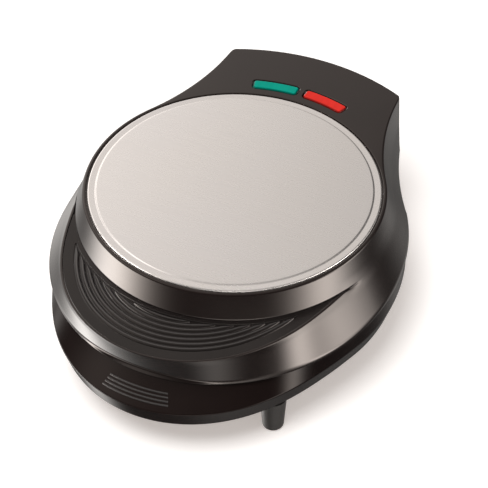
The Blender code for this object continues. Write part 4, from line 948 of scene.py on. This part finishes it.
def make_lenses():
    flange_top = CEILING_Z - SEAT_GAP
    levels = ((LENS_FLANGE, flange_top - LENS_FLANGE), (LENS_FLANGE, flange_top), (-LENS_GAP, flange_top),
              (-LENS_GAP, TOP_Z - LENS_CROWN, LENS_EDGE),
              (-LENS_GAP - LENS_BEVEL, TOP_Z + LENS_CROWN, LENS_TOP_EDGE),
              (-LENS_GAP - 2 * LENS_BEVEL, TOP_Z + LENS_CROWN))
    for tint, node, side in (("green", "ready_lens", -1), ("red", "power_lens", 1)):
        shape = shell([(mirrored(lens_outline(grow), side), *level) for grow, *level in levels])
        finish_piece(moulded(tint + "_lamp_lens", shape), "lid", tint + "_lens", node)


def half_moon(inset):
    """Plan of one cavity on the +X side: an arc, a straight side and two rounded corners."""
    radius = CAVITY_RADIUS - inset
    corner = CAVITY_CORNER - inset
    across = RIDGE_HALF + inset + corner
    along = sqrt((radius - corner) ** 2 - across ** 2)
    reach = atan2(along, across)
    return (arc(Vector((0, 0)), radius, -reach, 2 * reach, 8 * ARC_STEPS)
            + arc(Vector((across, along)), corner, reach, pi - reach, 2 * ARC_STEPS)[1:]
            + arc(Vector((across, -along)), corner, pi, pi - reach, 2 * ARC_STEPS)[:-1])


def cavity_levels():
    """Inset and depth of a cavity's rings: rounded mouth, wall and rounded floor."""
    mouth = [(-CAVITY_LIP * (1 - sin(turn)), CAVITY_LIP * (1 - cos(turn)))
             for turn in fan(0, QUARTER, MOUTH_STEPS)]
    bottom = CAVITY_DEPTH - CAVITY_ROUND
    return mouth + [(CAVITY_ROUND * (1 - cos(turn)), bottom + CAVITY_ROUND * sin(turn))
                    for turn in fan(0, QUARTER, 2 * MOUTH_STEPS)]


def make_cooking_plate(name, node, face, reach, body):
    """Cast plate with two half-moon cavities, its casting reaching up or down from the food side."""
    back = face + reach * PLATE_THICKNESS
    profile = soft_profile(((0, face), (PLATE_RADIUS, face), (PLATE_RADIUS, back), (0, back)), PLATE_EDGE)
    plate = moulded(name, turned_mesh(profile, DISC_SIDES))
    levels = cavity_levels()
    bosses = []
    cavities = []
    for side in (-1, 1):
        bosses.append(shell([(mirrored(half_moon(inset - CAST_WALL), side), face + reach * (CAST_WALL + depth))
                             for inset, depth in levels[MOUTH_STEPS:]]))
        cavities.append(shell([(mirrored(half_moon(inset), side), face + reach * depth)
                               for inset, depth in [(-CAVITY_LIP, -OVERRUN)] + levels]))
    carve(plate, merged(bosses), "UNION")
    carve(plate, merged(cavities))
    finish_piece(plate, body, "coated_plate", node)


def screw_holes(places, low, high):
    """Cutters for screw holes between two heights."""
    profile = ((HOLE_RADIUS, low - OVERRUN), (HOLE_RADIUS, high + OVERRUN))
    return merged([turned_mesh(profile, ROUND_SIDES // 2, place) for place in places])


PLATE_SCREW_PLACES = [heading(angle) * PLATE_SCREW_RADIUS for angle in PLATE_SCREW_ANGLES]


def ledge_levels(wall, near, far):
    """Levels of the ledge that carries a cooking plate."""
    corners = ((LEDGE_OUTER, wall), (LEDGE_OUTER, far), (LEDGE_INNER, far), (LEDGE_INNER, near),
               (OPENING_RADIUS, near))
    return [(circle(radius), height) for radius, height in corners]


def make_lid_frame():
    outer = LID_LOW.inset(LID_EDGE + SEAT_GAP).with_flat_back(HINGE_Y - FRAME_BACK_MARGIN).ring()
    ledge = UPPER_PLATE_FACE + PLATE_THICKNESS + SEAT_GAP
    top = FRAME_Z + FRAME_WALL
    levels = ((circle(OPENING_RADIUS), FRAME_Z, FRAME_INNER_EDGE), (outer, FRAME_Z, FRAME_OUTER_EDGE),
              (outer, top), *ledge_levels(top, ledge, ledge + LEDGE_WALL))
    ring = moulded("plate_carrier", shell(levels, looped=True))
    carve(ring, screw_holes(PLATE_SCREW_PLACES, ledge, ledge + LEDGE_WALL))
    finish_piece(ring, "lid", "matt_black", "lid_frame")


def rim_reach(angle):
    """Reach of the base's widest line: near its top edge, and drawn out to a lip at the front."""
    neck = hump(max(BASE_TOP.corner - abs(angle), 0), RIM_NECK_SPAN)
    reach = BASE_MIDDLE.reach(angle) + RIM_GROWTH * (1 - neck)
    if abs(angle) < pi / 2:
        reach = smooth_min(PLATE_RADIUS + RIM_MARGIN, reach, RIM_BLEND)
    return reach + LIP_REACH * hump(angle, LIP_SPAN)


def rim_ring(inset=0):
    turns = [BASE_TOP.warped(angle) for angle in STATIONS]
    return [heading(turn) * (rim_reach(turn) - inset) for turn in turns]


def floor_ring(inset=0):
    """Edge of the floor, undercut all round below the rim."""
    return rim_ring(RIM_UNDERCUT + inset)


def base_levels():
    cover = floor_ring(COVER_INSET)
    opening = floor_ring(COVER_INSET + COVER_LEDGE)
    inside_z = BASE_TOP_Z - BASE_WALL
    return (
        (circle(OPENING_RADIUS), BASE_TOP_Z, OPENING_EDGE),
        (BASE_TOP.ring(), BASE_TOP_Z, BASE_EDGE),
        (rim_ring(), RIM_Z, RIM_EDGE),
        (floor_ring(), FLOOR_UNDERSIDE + BASE_EDGE_RISE, BASE_EDGE),
        (floor_ring(BASE_EDGE_INSET), FLOOR_UNDERSIDE, BASE_EDGE),
        (cover, FLOOR_UNDERSIDE, SHELF_EDGE),
        (cover, COVER_LEDGE_Z),
        (opening, COVER_LEDGE_Z),
        (opening, FLOOR_TOP),
        (floor_ring(FLOOR_INSET), FLOOR_TOP),
        (rim_ring(RIM_WALL), RIM_Z - RIM_WALL / 2),
        (BASE_TOP.inset(BASE_WALL).ring(), inside_z),
        *ledge_levels(inside_z, LEDGE_TOP_Z, LEDGE_TOP_Z - LEDGE_WALL),
    )


LIP_SECTION_SHARES = ((-1, -1), (1, -1), (0.95, 0.35), (0.7, 0.8), (0.3, 1), (-0.3, 1), (-0.7, 0.8),
                      (-0.95, 0.35))


def lip_rib(share):
    """Low rib across the front of the lip, part of the way from its top edge to its rim."""
    slope = Vector((BASE_FRONT - BASE_TOP.front, RIM_Z - BASE_TOP_Z)).normalized()
    normal = Vector((-slope.y, slope.x))
    half = LIP_RIB_HALF + LIP_RIB_GROWTH * share
    rings = []
    for step in range(-LIP_RIB_STEPS, LIP_RIB_STEPS + 1):
        angle = step / LIP_RIB_STEPS * half / BASE_TOP.front
        top = BASE_TOP.reach(angle)
        rim = rim_reach(angle)
        centre = Vector((top + (rim - top) * share, BASE_TOP_Z + (RIM_Z - BASE_TOP_Z) * share))
        corners = [centre + slope * along * LIP_RIB_WIDTH / 2 + normal * out * LIP_RIB_RISE
                   for along, out in LIP_SECTION_SHARES]
        rings.append([lifted(heading(angle) * corner.x, corner.y) for corner in corners])
    return loft_mesh(rings)


def on_lip_rib(place):
    """Whether a place on the base lies above the lip's own slope, where only the ribs are."""
    angle = atan2(place.x, DISC_Y - place.y)
    top = Vector((BASE_TOP.reach(angle), BASE_TOP_Z))
    slope = Vector((rim_reach(angle), RIM_Z)) - top
    offset = Vector((hypot(place.x, place.y - DISC_Y), place.z)) - top
    along = offset.dot(slope.normalized())
    above = offset.dot(Vector((-slope.y, slope.x)).normalized())
    front = abs(angle) < 2 * LIP_RIB_HALF / BASE_TOP.front
    low, high = (share * LIP_RIB_RISE for share in LIP_RIB_TOP_SHARES)
    return front and 0 < along < slope.length and low < above < high


def place_of(node):
    """Plan place of a node's middle, from the disc's axis."""
    low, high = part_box(node)
    return Vector(((low.x + high.x) / 2, (low.y + high.y) / 2 - DISC_Y))


CORNERS = tuple(f"{end}_{side}" for end in ("front", "rear") for side in ("left", "right"))
FOOT_NODES = tuple("foot_" + corner for corner in CORNERS)
COVER_SCREW_NODES = tuple("cover_screw_" + corner for corner in CORNERS)


def make_base():
    base = moulded("base_moulding", shell(base_levels(), looped=True))
    carve(base, merged([cross_mesh(ear_profile(), middle - EAR_WIDTH / 2, middle + EAR_WIDTH / 2)
                        for middle in (-EAR_HALF_SPACING, EAR_HALF_SPACING)]), "UNION")
    carve(base, pin_bore())
    carve(base, merged([lip_rib(share) for share in LIP_RIB_SHARES]), "UNION")
    carve(base, screw_holes(PLATE_SCREW_PLACES, LEDGE_TOP_Z - LEDGE_WALL, LEDGE_TOP_Z))
    carve(base, screw_holes([place_of(node) for node in FOOT_NODES + COVER_SCREW_NODES],
                            FLOOR_UNDERSIDE, FLOOR_TOP))
    finish_piece(base, "base", "gloss_black", "base_housing", finish="base_black")
    # The tops of the lip ribs get the painted highlight
    paint_crest_highlights(base, on_lip_rib)
    base.visible_glossy = False


def make_feet():
    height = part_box("foot_front_left")[1].z
    profile = [(FOOT_TOP_RADIUS, height)]
    profile += [(FOOT_LOW_RADIUS - FOOT_ROUND * (1 - cos(turn)), FOOT_ROUND * (1 - sin(turn)))
                for turn in fan(0, QUARTER, QUARTER_STEPS)]
    profile += [(FOOT_COUNTERBORE + FOOT_CHAMFER, 0), (FOOT_COUNTERBORE, FOOT_CHAMFER),
                (FOOT_COUNTERBORE, FOOT_COUNTERBORE_DEPTH), (HOLE_RADIUS, FOOT_COUNTERBORE_DEPTH),
                (HOLE_RADIUS, height)]
    for node in FOOT_NODES:
        foot = moulded(node + "_rubber", turned_mesh(profile, ROUND_SIDES, place_of(node), looped=True))
        finish_piece(foot, "base", "foot_rubber", node)


def cross_recess(place, low, high):
    """Cutters for a screw's cross recess."""
    bars = []
    for across, along in ((CROSS_HALF_LENGTH, CROSS_HALF_WIDTH), (CROSS_HALF_WIDTH, CROSS_HALF_LENGTH)):
        corners = [Vector((place.x + x * across, place.y + y * along))
                   for x, y in ((-1, -1), (1, -1), (1, 1), (-1, 1))]
        bars.append(shell(((corners, low), (corners, high))))
    return bars


def make_screws():
    """The screws that show from below, with domed heads and cross recesses."""
    for node in COVER_SCREW_NODES + tuple("foot_screw_" + corner for corner in CORNERS):
        low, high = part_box(node)
        seat = low.z + SCREW_HEAD
        place = place_of(node)
        head = [(SCREW_HEAD_RADIUS * sin(turn),
                 seat - SCREW_HEAD * (SCREW_SIDE_SHARE + (1 - SCREW_SIDE_SHARE) * cos(turn)))
                for turn in fan(0, QUARTER, QUARTER_STEPS)]
        profile = head + [(SCREW_HEAD_RADIUS, seat), (SCREW_RADIUS, seat), (SCREW_RADIUS, high.z), (0, high.z)]
        screw = moulded(node + "_steel", turned_mesh(profile, ROUND_SIDES // 2, place))
        for bar in cross_recess(place, low.z - OVERRUN, low.z + CROSS_DEPTH):
            carve(screw, bar)
        finish_piece(screw, "base", "plain_steel", node)


def make_pins():
    inner = EAR_HALF_SPACING - LUG_REACH - PIN_END
    outer = EAR_HALF_SPACING + LUG_REACH + PIN_END
    for node, side in (("hinge_pin_left", -1), ("hinge_pin_right", 1)):
        head, neck, end = (side * reach for reach in (inner - PIN_HEAD, inner, outer))
        corners = ((0, head), (PIN_HEAD_RADIUS, head), (PIN_HEAD_RADIUS, neck), (PIN_RADIUS, neck),
                   (PIN_RADIUS, end), (0, end))
        pin = moulded(node + "_steel", lying(turned_mesh(soft_profile(corners, PIN_EDGE), ROUND_SIDES)))
        finish_piece(pin, "base", "plain_steel", node)


def aimed(thing, place, target=Vector()):
    """Puts a camera or lamp in its place and points it at a target."""
    thing.location = place
    thing.rotation_euler = (target - place).to_track_quat("-Z", "Y").to_euler()


def make_camera():
    camera = placed("camera", bpy.data.cameras.new("camera"))
    aimed(camera, CAMERA_PLACE, CAMERA_TARGET)
    camera.data.lens = CAMERA_LENS
    camera.data.clip_start = CAMERA_NEAR
    bpy.context.scene.camera = camera


def direction(azimuth, elevation):
    """Unit vector from the object towards a place in the studio; azimuth 0 is the front."""
    return lifted(heading(radians(azimuth)) * cos(radians(elevation)), sin(radians(elevation)))


# Soft sources that the gloss mirrors: azimuth, elevation and their two spreads in degrees, and strength
SOURCES = (
    (-59, -20, 16.5, 8, 14.5),
    (84, -15, 14, 6, 10.8),
    (101, 3, 11, 8, 9),
    (-101, -54, 11, 5.8, 4.3),
    (152, -38, 14, 12, 0.6),
    (-98, -41, 9, 6, 1.1),
    (-62, 40, 26, 12, 1.8),
    (60, -68, 40, 9, 1),
    (0, 90, 180, 28, 0.75),
    (28, -27, 17, 6, 5.6),
    (-134, -18, 14, 12, 1.6),
)
STUDIO_TINT = (1, 0.965, 0.93)
STUDIO_LEVEL = 0.09
DIFFUSE_LEVEL = 0.42
BACK_WALL = (-128, 22)
BACK_SPREAD = 20
BACK_STRENGTH = 1.95


def make_world():
    """Plain even light, white for the camera, and for gloss a dim studio with a back wall and soft sources."""
    world = bpy.data.worlds.new("studio")
    bpy.context.scene.world = world
    world.use_nodes = True
    world.node_tree.nodes.clear()
    graph = Graph(world.node_tree)
    toward = graph.add("ShaderNodeTexCoord").outputs["Generated"]
    parts = graph.add("ShaderNodeSeparateXYZ", toward).outputs
    azimuth = graph.math("ARCTAN2", parts["X"], graph.math("MULTIPLY", parts["Y"], -1))
    elevation = graph.math("ARCSINE", parts["Z"])

    def falloff(value, middle, spread, around=False):
        away = graph.math("SUBTRACT", value, radians(middle))
        if around:
            away = graph.math("WRAP", away, pi, -pi)
        share = graph.math("DIVIDE", away, radians(spread))
        return graph.math("EXPONENT", graph.math("MULTIPLY", graph.math("MULTIPLY", share, share), -0.5))

    angle = graph.math("ARCCOSINE", graph.measure("DOT_PRODUCT", toward, direction(*BACK_WALL)))
    wall = graph.math("MULTIPLY", falloff(angle, 0, BACK_SPREAD), BACK_STRENGTH)
    total = graph.math("ADD", STUDIO_LEVEL, wall)
    for azimuth_at, elevation_at, wide, tall, strength in SOURCES:
        lobe = graph.math("MULTIPLY", falloff(azimuth, azimuth_at, wide, True),
                          falloff(elevation, elevation_at, tall))
        total = graph.math("ADD", total, graph.math("MULTIPLY", lobe, strength))
    rays = graph.add("ShaderNodeLightPath").outputs
    glossy = rays["Is Glossy Ray"]
    plain = graph.spread(rays["Is Camera Ray"], 0, 1, DIFFUSE_LEVEL, 1)
    colour = graph.mix(glossy, tinted(WHITE), tinted(STUDIO_TINT))
    background = graph.add("ShaderNodeBackground", colour, graph.mix(glossy, plain, total, "FLOAT"))
    graph.add("ShaderNodeOutputWorld", background.outputs[0])


FLOOR_HALF = 6
FLOOR_SHADE = (0.88, 0.87, 0.86)
FLOOR_GLOW = (1, 0.9, 0.84)
FLOOR_LIFT = 0.4
FLOOR_NEAR = 0.35
FLOOR_FAR = 1.6


def make_floor():
    """Pale floor that keeps the object's shadow; what the camera sees of it is lifted to full white."""
    mesh = bpy.data.meshes.new("floor")
    shape = bmesh.new()
    bmesh.ops.create_grid(shape, x_segments=1, y_segments=1, size=FLOOR_HALF)
    shape.to_mesh(mesh)
    shape.free()
    floor = placed("floor", mesh)
    floor.visible_glossy = False
    material, graph, shader = finish_material("floor", FLOOR_SHADE, 1)
    lift = graph.spread(graph.measure("LENGTH", graph.place()), FLOOR_NEAR, FLOOR_FAR, FLOOR_LIFT, 1)
    seen = graph.add("ShaderNodeLightPath").outputs["Is Camera Ray"]
    graph.feed(shader, Specular_IOR_Level=0, Emission_Color=tinted(FLOOR_GLOW),
               Emission_Strength=graph.math("MULTIPLY", seen, lift))
    mesh.materials.append(material)


KEY_PLACE = Vector((-0.16, -0.66, 1.8))
KEY_SIZE = 1.2
KEY_POWER = 31


def make_lamp():
    """Soft lamp above and in front, which keeps the shadow close round the object."""
    lamp = bpy.data.lights.new("key", "AREA")
    lamp.shape = "DISK"
    lamp.size = KEY_SIZE
    lamp.energy = KEY_POWER
    thing = placed("key", lamp)
    aimed(thing, KEY_PLACE)
    thing.visible_glossy = False


bpy.context.scene.view_settings.view_transform = "Standard"
finish_nodes()
make_lid()
make_grip_insert()
make_disc()
make_lenses()
make_lid_frame()
make_cooking_plate("upper_plate_casting", "upper_cooking_plate", UPPER_PLATE_FACE, 1, "lid")
make_cooking_plate("lower_plate_casting", "lower_cooking_plate", LOWER_PLATE_TOP, -1, "base")
make_base()
make_feet()
make_screws()
make_pins()
make_floor()
make_lamp()
make_world()
make_camera()
